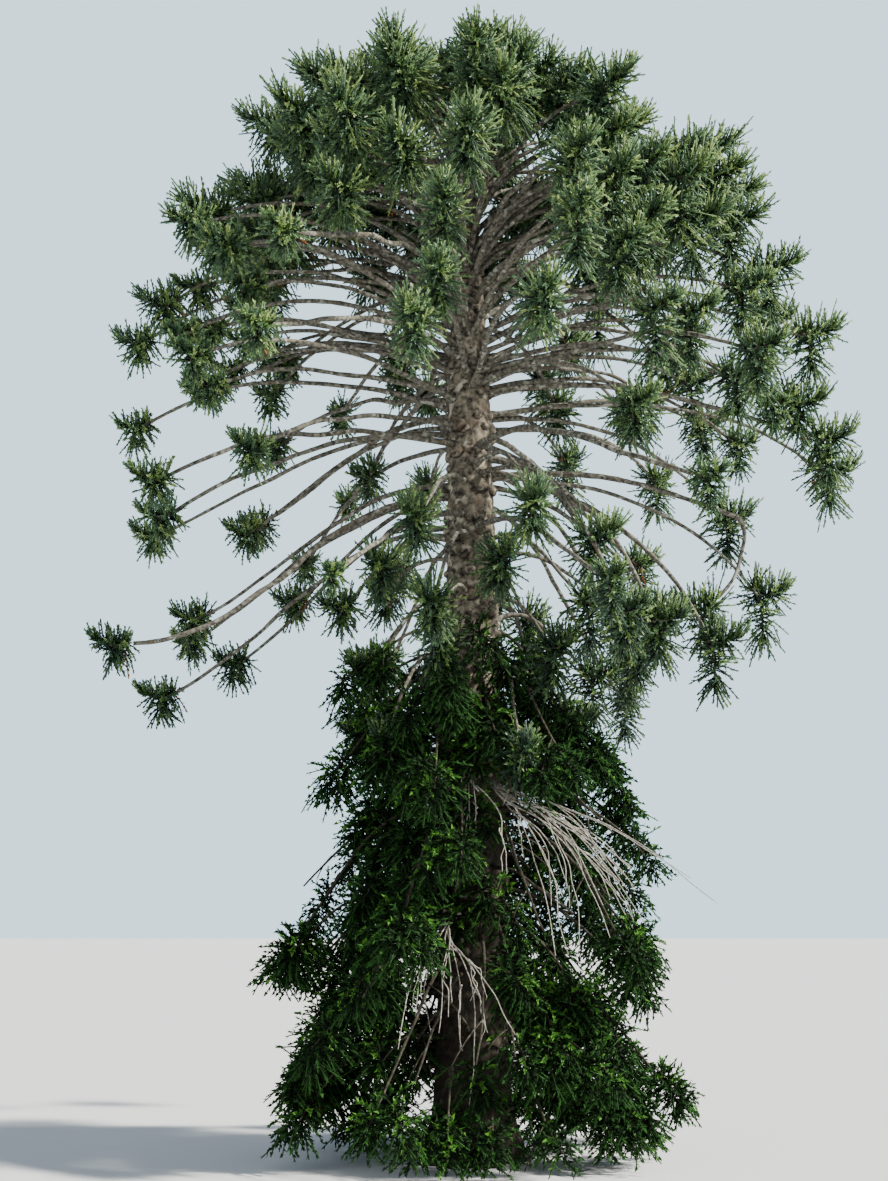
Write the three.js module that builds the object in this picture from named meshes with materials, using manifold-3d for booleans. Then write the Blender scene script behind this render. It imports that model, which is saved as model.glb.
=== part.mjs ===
// An old bunya pine, Araucaria bidwillii: one straight trunk with rings of knots, whorls of long bare
// boughs that arch out and droop, a mop of leafy branchlets at the end of each limb, a domed top, and
// a skirt of younger drooping growth round the lower trunk.
// Millimetres and degrees, +Z up. The origin is the middle of the flat cut at ground level.
// Azimuth 0 is +X and turns towards +Y.

import * as THREE from 'three';
import { mergeVertices } from 'three/addons/utils/BufferGeometryUtils.js';
import Module from 'manifold-3d';

const wasm = await Module();
wasm.setup();
const { Manifold, Mesh } = wasm;

// The trunk: a long taper, a quicker one inside the crown, and buttresses at the foot.
const TRUNK = {
  height: 25600,
  footRadius: 830,
  vanishingHeight: 26400,
  taperPower: 0.52,
  crownTaperFrom: 18500,
  crownTaperShare: 0.5,
  flareReach: 330,
  flareHeight: 850,
  buttresses: 5,
  buttressShare: 0.16,
  bow: 120,
  lean: 160,
  sides: 12,
  footRings: [0, 320, 750, 1500, 3000],
  evenRings: 12,
};

// Rings of stubs that shed boughs left on the trunk. Each stands `proud` of it and slopes down `drop`.
const KNOTS = {
  lowest: 4700,
  highest: 18500,
  spacing: 1480,
  inRing: 3,
  radius: 150,
  tipShare: 0.55,
  proud: 140,
  length: 460,
  drop: 60,
  azimuthPlay: 12,
};

// Whorls of boughs from the top down. Each limb leaves the trunk near `height`, rises at `launch`, and
// brings its mop to `reach` from the trunk line and `tip` above the ground, arriving at `arrive`.
// A whorl is cut into `sectors`. With `bough` true, a sector's first limb is a main bough by itself.
// The limbs stand evenly round the trunk from azimuth `first`, but for a gap before the last one.
const WHORLS = [
  { name: 'crown', height: 22900, limbs: 8, sectors: 2, bough: false,
    reach: 2850, tip: 24600, launch: 68, arrive: 20, first: 24, gap: 0 },
  { name: 'dome', height: 21700, limbs: 12, sectors: 3, bough: false,
    reach: 4300, tip: 23450, launch: 58, arrive: 0, first: 8, gap: 0 },
  { name: 'shoulder', height: 20400, limbs: 12, sectors: 3, bough: true,
    reach: 5750, tip: 21300, launch: 44, arrive: -14, first: -6, gap: 0 },
  { name: 'upper', height: 19100, limbs: 15, sectors: 3, bough: true,
    reach: 7050, tip: 19150, launch: 28, arrive: -16, first: 2, gap: 0 },
  { name: 'middle', height: 17800, limbs: 15, sectors: 3, bough: true,
    reach: 7750, tip: 16900, launch: 14, arrive: -18, first: -3, gap: 0 },
  { name: 'lower', height: 16500, limbs: 12, sectors: 3, bough: true,
    reach: 7700, tip: 14200, launch: 6, arrive: -20, first: 308, gap: 50 },
  { name: 'hanging', height: 15300, limbs: 8, sectors: 2, bough: true,
    reach: 7900, tip: 11500, launch: 0, arrive: -4, first: 195, gap: 0 },
  { name: 'inner', height: 14100, limbs: 8, sectors: 2, bough: false,
    reach: 3000, tip: 12500, launch: 24, arrive: -26, first: 10, gap: 0 },
];
const LIMB = {
  handleShare: 0.38,       // how far a limb keeps its first and last direction
  reachSteps: [1, 0.8, 0.97, 0.74, 0.88],
  tipLift: 0.36,           // a shorter limb ends this share of the missing reach higher
  azimuthPlay: 7,
  reachPlay: 0.05,
  tipPlay: 420,
  swayPlay: 260,
  heightStep: 400,
  boughRoot: 105,
  boughTip: 44,
  twigTip: 46,
};

// One right-hand bough of the lowest whorl runs out level, then curls down and back under itself.
const CURL = {
  azimuth: 2,
  height: 15350,
  level: { reach: 5000, height: 15450 },
  shoulder: { reach: 6250, height: 14500 },
  turn: { reach: 6500, height: 13450 },
  end: { reach: 5750, height: 12550 },
};

// A mop: the limb's last stretch thickens to a three-sided bud with branchlets on its sides. They are
// told by their place along the bud, their angle from it, and the side counted round from the top.
// A negative sag curves a branchlet upwards.
const MOP = {
  length: 1000,
  sag: 330,
  budRadius: 240,
  budShare: 0.5,
  endRadius: 18,
  sides: 3,
  branchlets: [
    { share: 0.34, open: 72, side: 0, length: 980, sag: -60 },
    { share: 0.38, open: 84, side: 120, length: 1050, sag: 380 },
    { share: 0.36, open: 84, side: 240, length: 1050, sag: 380 },
    { share: 0.66, open: 42, side: 120, length: 950, sag: -40 },
    { share: 0.66, open: 42, side: 240, length: 950, sag: -40 },
  ],
  width: 560,
  thickness: 340,
  play: 9,
};

// The leader's own mops at the very top of the trunk.
const LEADER = { post: 350, mops: 3, first: 40, spread: 820, top: 26450, drop: 150, launch: 52, arrive: 38 };

// Skirt levels: drooping young limbs round the trunk with sprays to both sides.
const SKIRT = [
  { name: 'skirt_upper', height: 10800, masses: 3, reach: 3500, tip: 8300, launch: 20, arrive: -42, first: 30 },
  { name: 'skirt_lower', height: 7600, masses: 3, reach: 4500, tip: 4700, launch: 12, arrive: -44, first: 90 },
  { name: 'skirt_foot', height: 4300, masses: 2, reach: 4800, tip: 1500, launch: 8, arrive: -40, first: 90 },
];
const SKIRT_LIMB = {
  spread: 0.74,            // share of the level's sector that a mass fills
  leadRoot: 105,
  root: 78,
  tip: 56,
  steps: 3,
  firstFork: 330,
  forkStep: 130,
  bud: 1300,
  budRadius: 170,
  reachSteps: [0.88, 1, 0.72, 0.96],
  tipSteps: [300, -400, 900, 0],
  sprays: 5,
  bareShare: 0.42,
  open: 52,
  side: 105,
  play: 8,
  spray: { length: 1350, width: 620, thickness: 240, sag: 330 },
};

// How the limbs of a fan of mops fork, one from another, near the trunk.
const FAN = {
  droop: 20,
  leadRoot: 118,
  root: 80,
  tip: 46,
  steps: 4,
  firstFork: 330,
  forkStep: 120,
  bud: MOP.length,
  budRadius: MOP.budRadius,
};

const CLEARANCE = 0.3;     // kept between pieces that carry each other
const LEAF_GAP = 8;        // kept between one mass and any other piece
const TIDY = 12;           // a join's slivers finer than this are closed up
const SUNK = 14;           // how far a spray's root is sunk past the middle line of what bears it
const LOWEST_LEAF = 60;
const UP = new THREE.Vector3(0, 0, 1);
const rad = THREE.MathUtils.degToRad;

// The same draws from -1 to 1 every time, in the order in which they are asked for.
function drawsFrom(seed) {
  let state = seed;
  return () => {
    state = (state * 1664525 + 1013904223) % 4294967296;
    return (2 * state) / 4294967296 - 1;
  };
}
const drawLimb = drawsFrom(27);
const drawLeaf = drawsFrom(28);
const drawKnot = drawsFrom(29);

// Shape rules

function smoothShare(value, from, to) {
  const share = THREE.MathUtils.clamp((value - from) / (to - from), 0, 1);
  return share * share * (3 - 2 * share);
}

function trunkRadius(height) {
  const taper = Math.max(0, 1 - height / TRUNK.vanishingHeight) ** TRUNK.taperPower;
  const crown = 1 - TRUNK.crownTaperShare * smoothShare(height, TRUNK.crownTaperFrom, TRUNK.height);
  return TRUNK.footRadius * taper * crown;
}

function trunkCentre(height) {
  const share = height / TRUNK.height;
  return TRUNK.bow * Math.sin(Math.PI * share) - TRUNK.lean * share;
}

function around(azimuth, reach, height) {
  const angle = rad(azimuth);
  return new THREE.Vector3(
    trunkCentre(Math.min(height, TRUNK.height)) + reach * Math.cos(angle),
    reach * Math.sin(angle),
    height,
  );
}

// A direction that keeps the bearing of `flat` and stands `elevation` above the level.
function heading(flat, elevation) {
  const level = new THREE.Vector3(flat.x, flat.y, 0).normalize();
  return level.multiplyScalar(Math.cos(rad(elevation))).addScaledVector(UP, Math.sin(rad(elevation)));
}

function limbPath(start, end, launch, arrive, sway) {
  const flat = end.clone().sub(start);
  const handle = LIMB.handleShare * start.distanceTo(end);
  const sideways = new THREE.Vector3(-flat.y, flat.x, 0).normalize().multiplyScalar(sway);
  return new THREE.CubicBezierCurve3(
    start,
    start.clone().addScaledVector(heading(flat, launch), handle).add(sideways),
    end.clone().addScaledVector(heading(flat, arrive), -handle).add(sideways),
    end,
  );
}

// Solids

function solidOf(geometry) {
  const bare = new THREE.BufferGeometry();
  bare.setAttribute('position', geometry.getAttribute('position'));
  bare.setIndex(geometry.getIndex());
  const merged = mergeVertices(bare, 1e-3);
  return new Manifold(new Mesh({
    numProp: 3,
    vertProperties: new Float32Array(merged.attributes.position.array),
    triVerts: new Uint32Array(merged.index.array),
  }));
}

function geometryOf(solid) {
  const mesh = solid.getMesh();
  const points = new Float32Array(mesh.numVert * 3);
  for (let i = 0; i < mesh.numVert; i += 1) {
    points.set(mesh.vertProperties.subarray(i * mesh.numProp, i * mesh.numProp + 3), i * 3);
  }
  const geometry = new THREE.BufferGeometry();
  geometry.setAttribute('position', new THREE.BufferAttribute(points, 3));
  geometry.setIndex(new THREE.BufferAttribute(mesh.triVerts, 1));
  return geometry;
}

// The level direction across a curve at `share`, the one square to it above, and the curve's own.
function frameAt(curve, share) {
  const along = curve.getTangentAt(share);
  const side = new THREE.Vector3().crossVectors(along, UP);
  if (side.length() < 1e-3) side.set(1, 0, 0);
  side.normalize();
  return { along, side, top: new THREE.Vector3().crossVectors(side, along) };
}

// Rings that shrink evenly from the first share of a curve to the last.
function evenRings(rootRadius, tipRadius, steps, last = 1) {
  return Array.from({ length: steps + 1 }, (_, i) => ({
    share: (last * i) / steps,
    radius: THREE.MathUtils.lerp(rootRadius, tipRadius, i / steps),
  }));
}

// A limb skinned over rings that stand square to a curve, with one edge of every ring underneath.
function limbSolid(curve, rings, sides) {
  const steps = rings.length - 1;
  const geometry = new THREE.CylinderGeometry(1, 1, 1, sides, steps);
  const frames = rings.map(({ share }) => frameAt(curve, share));
  const points = geometry.getAttribute('position');
  for (let i = 0; i < points.count; i += 1) {
    const step = Math.round((0.5 - points.getY(i)) * steps);
    const { share, radius } = rings[step];
    const at = curve.getPointAt(share)
      .addScaledVector(frames[step].side, points.getX(i) * radius)
      .addScaledVector(frames[step].top, -points.getZ(i) * radius);
    points.setXYZ(i, at.x, at.y, at.z);
  }
  const solid = solidOf(geometry);
  return solid.volume() < 0 ? turned(geometry) : solid;
}

// The same geometry with every face turned round.
function turned(geometry) {
  const index = geometry.getIndex();
  for (let i = 0; i < index.count; i += 3) {
    const kept = index.getX(i + 1);
    index.setX(i + 1, index.getX(i + 2));
    index.setX(i + 2, kept);
  }
  return solidOf(geometry);
}

// A leafy branchlet: a six-faced spindle that bends down towards its tip.
function spraySolid(root, direction, size) {
  const geometry = new THREE.SphereGeometry(1, 3, 2);
  geometry.scale(size.width / 2, size.length / 2, size.thickness / 2);
  geometry.translate(0, size.length / 2, 0);
  const side = new THREE.Vector3().crossVectors(direction, UP).normalize();
  const top = new THREE.Vector3().crossVectors(side, direction);
  geometry.applyMatrix4(new THREE.Matrix4().makeBasis(side, direction, top));
  const points = geometry.getAttribute('position');
  for (let i = 0; i < points.count; i += 1) {
    const along = new THREE.Vector3().fromBufferAttribute(points, i);
    const share = along.dot(direction) / size.length;
    points.setZ(i, points.getZ(i) - size.sag * share * share);
  }
  geometry.translate(root.x, root.y, root.z);
  const solid = solidOf(geometry);
  return solid.volume() < 0 ? turned(geometry) : solid;
}

function sprayEnd(root, direction, size) {
  return root.clone().addScaledVector(direction, size.length).addScaledVector(UP, -size.sag);
}

function trunkSolid(extra) {
  const outline = [new THREE.Vector2(0, 0)];
  for (const height of TRUNK.footRings) outline.push(new THREE.Vector2(1, height));
  const above = TRUNK.footRings.at(-1);
  for (let i = 1; i <= TRUNK.evenRings; i += 1) {
    outline.push(new THREE.Vector2(1, above + ((TRUNK.height - above) * i) / TRUNK.evenRings));
  }
  outline.push(new THREE.Vector2(0, TRUNK.height));
  const geometry = new THREE.LatheGeometry(outline, TRUNK.sides);
  const points = geometry.getAttribute('position');
  for (let i = 0; i < points.count; i += 1) {
    const height = points.getY(i);
    const angle = Math.atan2(points.getZ(i), points.getX(i));
    const onAxis = Math.hypot(points.getX(i), points.getZ(i)) < 0.5;
    const flare = Math.exp(-height / TRUNK.flareHeight);
    const lobes = 1 + TRUNK.buttressShare * flare * Math.cos(TRUNK.buttresses * angle);
    const radius = onAxis ? 0 : (trunkRadius(height) + TRUNK.flareReach * flare) * lobes + extra;
    points.setXYZ(i, trunkCentre(height) + radius * Math.cos(angle), radius * Math.sin(angle), height);
  }
  const solid = solidOf(geometry);
  return solid.volume() < 0 ? turned(geometry) : solid;
}

// What is already in place, as thick lines, so that leaves and knots can keep clear of it.
const placed = [];

function place(owner, curve, rootRadius, tipRadius, steps) {
  const points = curve.getSpacedPoints(steps);
  for (let i = 0; i < steps; i += 1) {
    const radius = THREE.MathUtils.lerp(rootRadius, tipRadius, i / steps);
    placed.push({ owner, line: [points[i], points[i + 1]], radius });
  }
}

function gapBetween([p, q], [r, s]) {
  const d1 = q.clone().sub(p);
  const d2 = s.clone().sub(r);
  const between = p.clone().sub(r);
  const a = d1.lengthSq();
  const e = d2.lengthSq();
  const b = d1.dot(d2);
  const c = d1.dot(between);
  const f = d2.dot(between);
  const spread = a * e - b * b;
  const clamp = THREE.MathUtils.clamp;
  let u = spread > 1e-6 ? clamp((b * f - c * e) / spread, 0, 1) : 0;
  const v = clamp((b * u + f) / e, 0, 1);
  u = clamp((b * v - c) / a, 0, 1);
  return p.clone().addScaledVector(d1, u).distanceTo(r.clone().addScaledVector(d2, v));
}

function touches(owner, line, radius) {
  return placed.some((other) => other.owner !== owner
    && gapBetween(line, other.line) < radius + other.radius + LEAF_GAP);
}

// Nodes

const tree = new THREE.Group();
tree.name = 'bunya_pine';
const barkOfTrunk = new THREE.MeshStandardMaterial({ color: 0x6b5c4f, roughness: 0.95, metalness: 0 });
const barkOfBoughs = new THREE.MeshStandardMaterial({ color: 0x7c7263, roughness: 0.9, metalness: 0 });
const leavesOfMops = new THREE.MeshStandardMaterial({ color: 0x3f5f2c, roughness: 0.6, metalness: 0 });
const leavesOfSkirt = new THREE.MeshStandardMaterial({ color: 0x234a22, roughness: 0.6, metalness: 0 });

function addNode(name, solid, material) {
  const mesh = new THREE.Mesh(geometryOf(solid), material);
  mesh.name = name;
  tree.add(mesh);
}

function largest(solid) {
  return solid.decompose().reduce((best, part) => (part.volume() > best.volume() ? part : best));
}

// The pieces of a mass joined into one solid that keeps clear of the trunk, without loose scraps.
function joined(solids) {
  return largest(largest(Manifold.union(solids)).simplify(TIDY).subtract(trunkSpace));
}

const trunkSpace = trunkSolid(CLEARANCE);
const masses = [];

function limbFromWhorl(whorl, number) {
  const step = LIMB.reachSteps[number % LIMB.reachSteps.length];
  const spacing = (360 - whorl.gap) / whorl.limbs;
  const azimuth = whorl.first + number * spacing + LIMB.azimuthPlay * drawLimb();
  const reach = whorl.reach * step * (1 + LIMB.reachPlay * drawLimb());
  const lift = LIMB.tipLift * (whorl.reach - reach);
  const tip = whorl.tip + lift + LIMB.tipPlay * drawLimb();
  const sway = LIMB.swayPlay * drawLimb();
  return { azimuth, reach, tip, sway };
}

// Where a mop that starts at `point` ends.
function mopEnd(point, direction) {
  return point.clone().addScaledVector(direction, MOP.length).addScaledVector(UP, -MOP.sag);
}

// The rings of the bud that ends a curve.
function budRings(from, radius) {
  return [
    { share: THREE.MathUtils.lerp(from, 1, MOP.budShare), radius },
    { share: 1, radius: MOP.endRadius },
  ];
}

// A branchlet that leaves a curve at `share`, at `open` from its run, on the side `turn` from its top.
function branchlet(curve, share, open, turn, size) {
  const { along, side, top } = frameAt(curve, share);
  const out = side.multiplyScalar(Math.sin(rad(turn))).addScaledVector(top, Math.cos(rad(turn)));
  const direction = along.multiplyScalar(Math.cos(rad(open))).addScaledVector(out, Math.sin(rad(open)));
  return { root: curve.getPointAt(share).addScaledVector(direction, -SUNK), direction, size };
}

function mopSprays(curve, from) {
  return MOP.branchlets.map(({ share, open, side, length, sag }) => {
    const turn = side + MOP.play * drawLeaf();
    const wide = open + MOP.play * drawLeaf();
    const size = { length, width: MOP.width, thickness: MOP.thickness, sag };
    return branchlet(curve, THREE.MathUtils.lerp(from, 1, share), wide, turn, size);
  });
}

function newMass(name, material) {
  const mass = { name, material, solids: [], sprays: [] };
  masses.push(mass);
  return mass;
}

// The lead limb of a mass starts inside the trunk and is cut clear of it. The others spring from it.
function addLimbs(mass, ends, height, rule) {
  const lead = Math.floor(ends.length / 2);
  const bearing = ends[lead].azimuth;
  const root = around(bearing, trunkRadius(height) * 0.5, height);
  const leadPath = limbPath(root, ends[lead].end, rule.launch, rule.arrive, ends[lead].sway);
  const length = leadPath.getLength();
  ends.forEach(({ end, sway }, i) => {
    const fork = trunkRadius(height) * 0.5 + rule.firstFork + rule.forkStep * Math.abs(i - lead);
    const path = i === lead ? leadPath
      : limbPath(leadPath.getPointAt(fork / length), end, rule.launch, rule.arrive, sway);
    const rootRadius = i === lead ? rule.leadRoot : rule.root;
    const from = 1 - rule.bud / path.getLength();
    const rings = evenRings(rootRadius, rule.tip, rule.steps, from).concat(budRings(from, rule.budRadius));
    mass.solids.push(limbSolid(path, rings, MOP.sides));
    place(mass.name, path, rootRadius, rule.tip, 8);
    mass.sprays.push(...rule.sprays(path, from));
  });
}

function addBough(name, path) {
  const solid = limbSolid(path, evenRings(LIMB.boughRoot, LIMB.boughTip, 6), 5);
  place(name, path, LIMB.boughRoot, LIMB.boughTip, 10);
  addNode(name, largest(solid.subtract(trunkSpace)), barkOfBoughs);
}

// The mass at a bough's tip: a stem end to end with the bough that carries on as its mop.
function addTipMass(name, path) {
  const mass = newMass(name, leavesOfMops);
  const direction = path.getTangentAt(1);
  const point = path.getPointAt(1).addScaledVector(direction, CLEARANCE);
  const core = new THREE.QuadraticBezierCurve3(
    point, point.clone().addScaledVector(direction, 0.5 * MOP.length), mopEnd(point, direction));
  const rings = [{ share: 0, radius: LIMB.boughTip }].concat(budRings(0, MOP.budRadius));
  mass.solids.push(limbSolid(core, rings, MOP.sides));
  place(name, core, LIMB.boughTip, LIMB.boughTip, 2);
  mass.sprays.push(...mopSprays(core, 0));
}

function addCurledBough(name, tipName) {
  const { azimuth, height, level, shoulder, turn, end } = CURL;
  const at = ({ reach, height: h }) => around(azimuth, reach, h);
  const root = around(azimuth, trunkRadius(height) * 0.6, height);
  const out = new THREE.CubicBezierCurve3(
    root, around(azimuth, 2200, height + 350), at(level).add(new THREE.Vector3(-1200, 0, 60)), at(shoulder));
  addBough(`${name}_run`, out);
  const heel = out.getTangentAt(1);
  const start = out.getPointAt(1).addScaledVector(heel, CLEARANCE);
  const back = new THREE.CubicBezierCurve3(
    start, start.clone().addScaledVector(heel, 420), at(turn), at(end));
  addNode(`${name}_curl`, limbSolid(back, evenRings(LIMB.boughTip, LIMB.twigTip, 6), 5), barkOfBoughs);
  place(`${name}_curl`, back, LIMB.boughTip, LIMB.twigTip, 6);
  addTipMass(tipName, back);
}

function addWhorl(whorl) {
  const perSector = whorl.limbs / whorl.sectors;
  for (let sector = 0; sector < whorl.sectors; sector += 1) {
    const limbs = Array.from({ length: perSector }, (_, i) => limbFromWhorl(whorl, sector * perSector + i));
    const height = whorl.height + LIMB.heightStep * (sector - 1);
    if (whorl.bough) {
      const main = limbs.shift();
      const number = sector + 1;
      if (whorl.name === 'hanging' && sector === 1) {
        addCurledBough(`${whorl.name}_bough_${number}`, `${whorl.name}_tuft_${number}`);
      } else {
        const root = around(main.azimuth, trunkRadius(height) * 0.6, height);
        const path = limbPath(root, around(main.azimuth, main.reach, main.tip), whorl.launch, whorl.arrive,
          main.sway);
        addBough(`${whorl.name}_bough_${number}`, path);
        addTipMass(`${whorl.name}_tuft_${number}`, path);
      }
    }
    const ends = limbs.map(({ azimuth, reach, tip, sway }) => {
      const neck = around(azimuth, reach, tip);
      return { azimuth, sway, end: mopEnd(neck, heading(around(azimuth, 1e6, 0), whorl.arrive)) };
    });
    const rule = { ...FAN, launch: whorl.launch, arrive: whorl.arrive - FAN.droop, sprays: mopSprays };
    addLimbs(newMass(`${whorl.name}_fan_${sector + 1}`, leavesOfMops), ends, height - LIMB.heightStep / 2, rule);
  }
}

// The leader's limbs: one carries the trunk on, the others spring from it.
function addLeader() {
  const mass = newMass('leader_top', leavesOfMops);
  const foot = around(0, 0, TRUNK.height + CLEARANCE);
  const top = around(0, 0, LEADER.top).setX(foot.x + LEADER.spread / 3);
  const leadPath = new THREE.CubicBezierCurve3(foot, foot.clone().addScaledVector(UP, LEADER.post),
    foot.clone().addScaledVector(UP, 2 * LEADER.post), top);
  const addOne = (path, from) => {
    const rings = [{ share: 0, radius: LIMB.twigTip }].concat(budRings(from, MOP.budRadius));
    mass.solids.push(limbSolid(path, rings, MOP.sides));
    place(mass.name, path, LIMB.twigTip, LIMB.twigTip, 3);
    mass.sprays.push(...mopSprays(path, from));
  };
  addOne(leadPath, 0.25);
  for (let i = 0; i < LEADER.mops; i += 1) {
    const azimuth = LEADER.first + (360 / LEADER.mops) * i;
    const end = around(azimuth, LEADER.spread, LEADER.top - LEADER.drop * (i + 1));
    addOne(limbPath(leadPath.getPointAt(0.12 + 0.1 * i), end, LEADER.launch, LEADER.arrive, 0), 0.2);
  }
}

// A skirt limb's sprays stand to both sides of it by turns.
function skirtSprays(path, from) {
  const { sprays, bareShare, open, side, play, spray } = SKIRT_LIMB;
  return Array.from({ length: sprays }, (_, k) => {
    const share = THREE.MathUtils.lerp(bareShare, from + 0.5 * (1 - from), k / (sprays - 1));
    const turn = (k % 2 ? side : 360 - side) + play * drawLeaf();
    return branchlet(path, share, open + play * drawLeaf(), turn, spray);
  });
}

function addSkirt(level) {
  const sector = 360 / level.masses;
  for (let number = 0; number < level.masses; number += 1) {
    const middle = level.first + sector * number;
    const ends = SKIRT_LIMB.reachSteps.map((share, i) => {
      const across = i / (SKIRT_LIMB.reachSteps.length - 1) - 0.5;
      const azimuth = middle + sector * SKIRT_LIMB.spread * across + LIMB.azimuthPlay * drawLimb();
      const tip = level.tip + SKIRT_LIMB.tipSteps[i];
      const sway = LIMB.swayPlay * drawLimb();
      return { azimuth, sway, end: around(azimuth, level.reach * share, tip) };
    });
    const mass = newMass(`${level.name}_${number + 1}`, leavesOfSkirt);
    addLimbs(mass, ends, level.height, { ...level, ...SKIRT_LIMB, sprays: skirtSprays });
  }
}

// The main boughs and all limbs come first, then the knots, then the leaves that must miss them.
for (const whorl of WHORLS) addWhorl(whorl);
addLeader();
for (const level of SKIRT) addSkirt(level);

function addTrunk() {
  const solids = [trunkSolid(0)];
  for (let ring = 0; KNOTS.lowest + ring * KNOTS.spacing <= KNOTS.highest; ring += 1) {
    const height = KNOTS.lowest + ring * KNOTS.spacing;
    for (let i = 0; i < KNOTS.inRing; i += 1) {
      const azimuth = (360 / KNOTS.inRing) * (i + 0.5 * (ring % 2)) + KNOTS.azimuthPlay * drawKnot();
      const proud = trunkRadius(height) + KNOTS.proud;
      const line = [around(azimuth, proud - KNOTS.length, height + KNOTS.drop), around(azimuth, proud, height)];
      if (touches('trunk', line, KNOTS.radius)) continue;
      const rings = evenRings(KNOTS.radius, KNOTS.radius * KNOTS.tipShare, 1);
      solids.push(limbSolid(new THREE.LineCurve3(...line), rings, 4));
    }
  }
  addNode('trunk', largest(Manifold.union(solids)), barkOfTrunk);
  const pieces = 24;
  for (let i = 0; i < pieces; i += 1) {
    const low = (TRUNK.height * i) / pieces;
    const high = (TRUNK.height * (i + 1)) / pieces;
    const radius = trunkRadius(low) + (low < KNOTS.highest ? KNOTS.proud : 0);
    placed.push({ owner: 'trunk', line: [around(0, 0, low), around(0, 0, high)], radius });
  }
}
addTrunk();

for (const mass of masses) {
  const kept = mass.sprays.filter(({ root, direction, size }) => {
    const end = sprayEnd(root, direction, size);
    return end.z > LOWEST_LEAF && !touches(mass.name, [root, end], size.width / 2);
  });
  for (const { root, direction, size } of kept) {
    mass.solids.push(spraySolid(root, direction, size));
    placed.push({ owner: mass.name, line: [root, sprayEnd(root, direction, size)], radius: size.width / 2 });
  }
  addNode(mass.name, joined(mass.solids), mass.material);
}

export default tree;
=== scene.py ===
import math
from collections import namedtuple

import bmesh
import bpy
import numpy as np
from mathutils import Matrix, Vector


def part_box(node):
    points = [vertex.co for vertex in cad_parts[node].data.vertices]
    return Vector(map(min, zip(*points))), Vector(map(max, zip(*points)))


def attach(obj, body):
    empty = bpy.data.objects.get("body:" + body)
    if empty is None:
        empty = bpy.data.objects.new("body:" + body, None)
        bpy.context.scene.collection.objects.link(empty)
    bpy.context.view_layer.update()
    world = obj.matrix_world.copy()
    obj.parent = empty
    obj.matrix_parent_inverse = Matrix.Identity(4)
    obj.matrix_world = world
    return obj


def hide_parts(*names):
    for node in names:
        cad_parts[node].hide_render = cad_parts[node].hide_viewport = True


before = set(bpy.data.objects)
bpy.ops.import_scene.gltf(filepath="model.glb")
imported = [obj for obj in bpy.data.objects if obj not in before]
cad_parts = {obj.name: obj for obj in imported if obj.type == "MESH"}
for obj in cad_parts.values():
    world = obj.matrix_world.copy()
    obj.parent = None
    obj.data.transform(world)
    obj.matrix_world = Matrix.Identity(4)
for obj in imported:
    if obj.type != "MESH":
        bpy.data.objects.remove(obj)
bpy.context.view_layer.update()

# The trunk: one old bole of hard, rough bark with a root flare. It grew straight and shed its lower boughs
# ring by ring, and each left a round stub that the bark has closed over. The saw cut at the ground is flat.
UP = np.array([0.0, 0.0, 1.0])
TRUNK_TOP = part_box("trunk")[1].z
FOOT_RADIUS = 0.83
VANISHING_HEIGHT = 26.4
TAPER_POWER = 0.52
CROWN_TAPER_FROM = 18.5
CROWN_TAPER_SHARE = 0.5
FLARE_REACH = 0.33
FLARE_HEIGHT = 0.85
BUTTRESSES = 5
BUTTRESS_SHARE = 0.16
BOW = 0.12
LEAN = 0.16
Rings = namedtuple("Rings", "lowest highest spacing in_ring play")
BIG_STUBS = Rings(4.7, 18.5, 1.48, 3, 12)
SMALL_STUBS = Rings(2.6, 22.6, 1.48 / 3, 7, 17)
BIG_STUB = {"radius": 0.15, "proud": 0.125, "width": 1.1, "open_share": 0.5}
SMALL_STUB_RADII = (0.07, 0.13)
SMALL_STUB_LIFT = 0.13
# The bark's lumps: how far they stand out, how far apart they are round the bole and up it, and a shift.
BARK_LUMPS = [(0.016, (0.3, 0.3, 0.13), 0), (0.008, (0.13, 0.13, 0.06), 7), (0.005, (0.06, 0.06, 0.035), 3)]
SMOOTH_TOP = 1.2
TRUNK_SIDES = 138
TRUNK_COURSES = 710
COURSE_POWER = 0.88


def draws_from(seed):
    """The same draws from -1 to 1 every time, as the solids were grown with."""
    state = seed
    while True:
        state = (state * 1664525 + 1013904223) % 4294967296
        yield 2 * state / 4294967296 - 1


def blend(a, b, share):
    return a + (b - a) * share


def smooth_share(value, low, high):
    share = np.clip((value - low) / (high - low), 0, 1)
    return share * share * (3 - 2 * share)


def trunk_radius(height):
    taper = np.maximum(0, 1 - height / VANISHING_HEIGHT) ** TAPER_POWER
    in_crown = smooth_share(height, CROWN_TAPER_FROM, TRUNK_TOP)
    return FOOT_RADIUS * taper * (1 - CROWN_TAPER_SHARE * in_crown)


def trunk_centre(height):
    share = np.minimum(height, TRUNK_TOP) / TRUNK_TOP
    return BOW * np.sin(np.pi * share) - LEAN * share


def around(azimuth, reach, height):
    """The point that far from the trunk's own line, in degrees from +X."""
    angle = math.radians(azimuth)
    along_x = trunk_centre(height) + reach * math.cos(angle)
    return np.array([along_x, reach * math.sin(angle), height])


def lumps(points, cell):
    """Smooth noise from -1 to 1 whose lumps are about that far apart, in metres along each axis.

    Every corner of a grid gets a mixed-up number of its own, and between the corners it is blended."""
    scaled = points / cell
    corner = np.floor(scaled).astype(np.int64)
    part = scaled - corner
    part = part * part * (3 - 2 * part)
    total = np.zeros(len(points))
    for step in np.ndindex(2, 2, 2):
        mixed = (corner + step) @ np.array([73856093, 19349663, 83492791])
        mixed = (mixed ^ (mixed >> 13)) * 1274126177 & 0xFFFFFFFF
        value = (mixed ^ (mixed >> 15) & 0xFFFF) % 65536 / 32767.5 - 1
        total += value * np.prod(np.where(step, part, 1 - part), axis=1)
    return total


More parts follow.
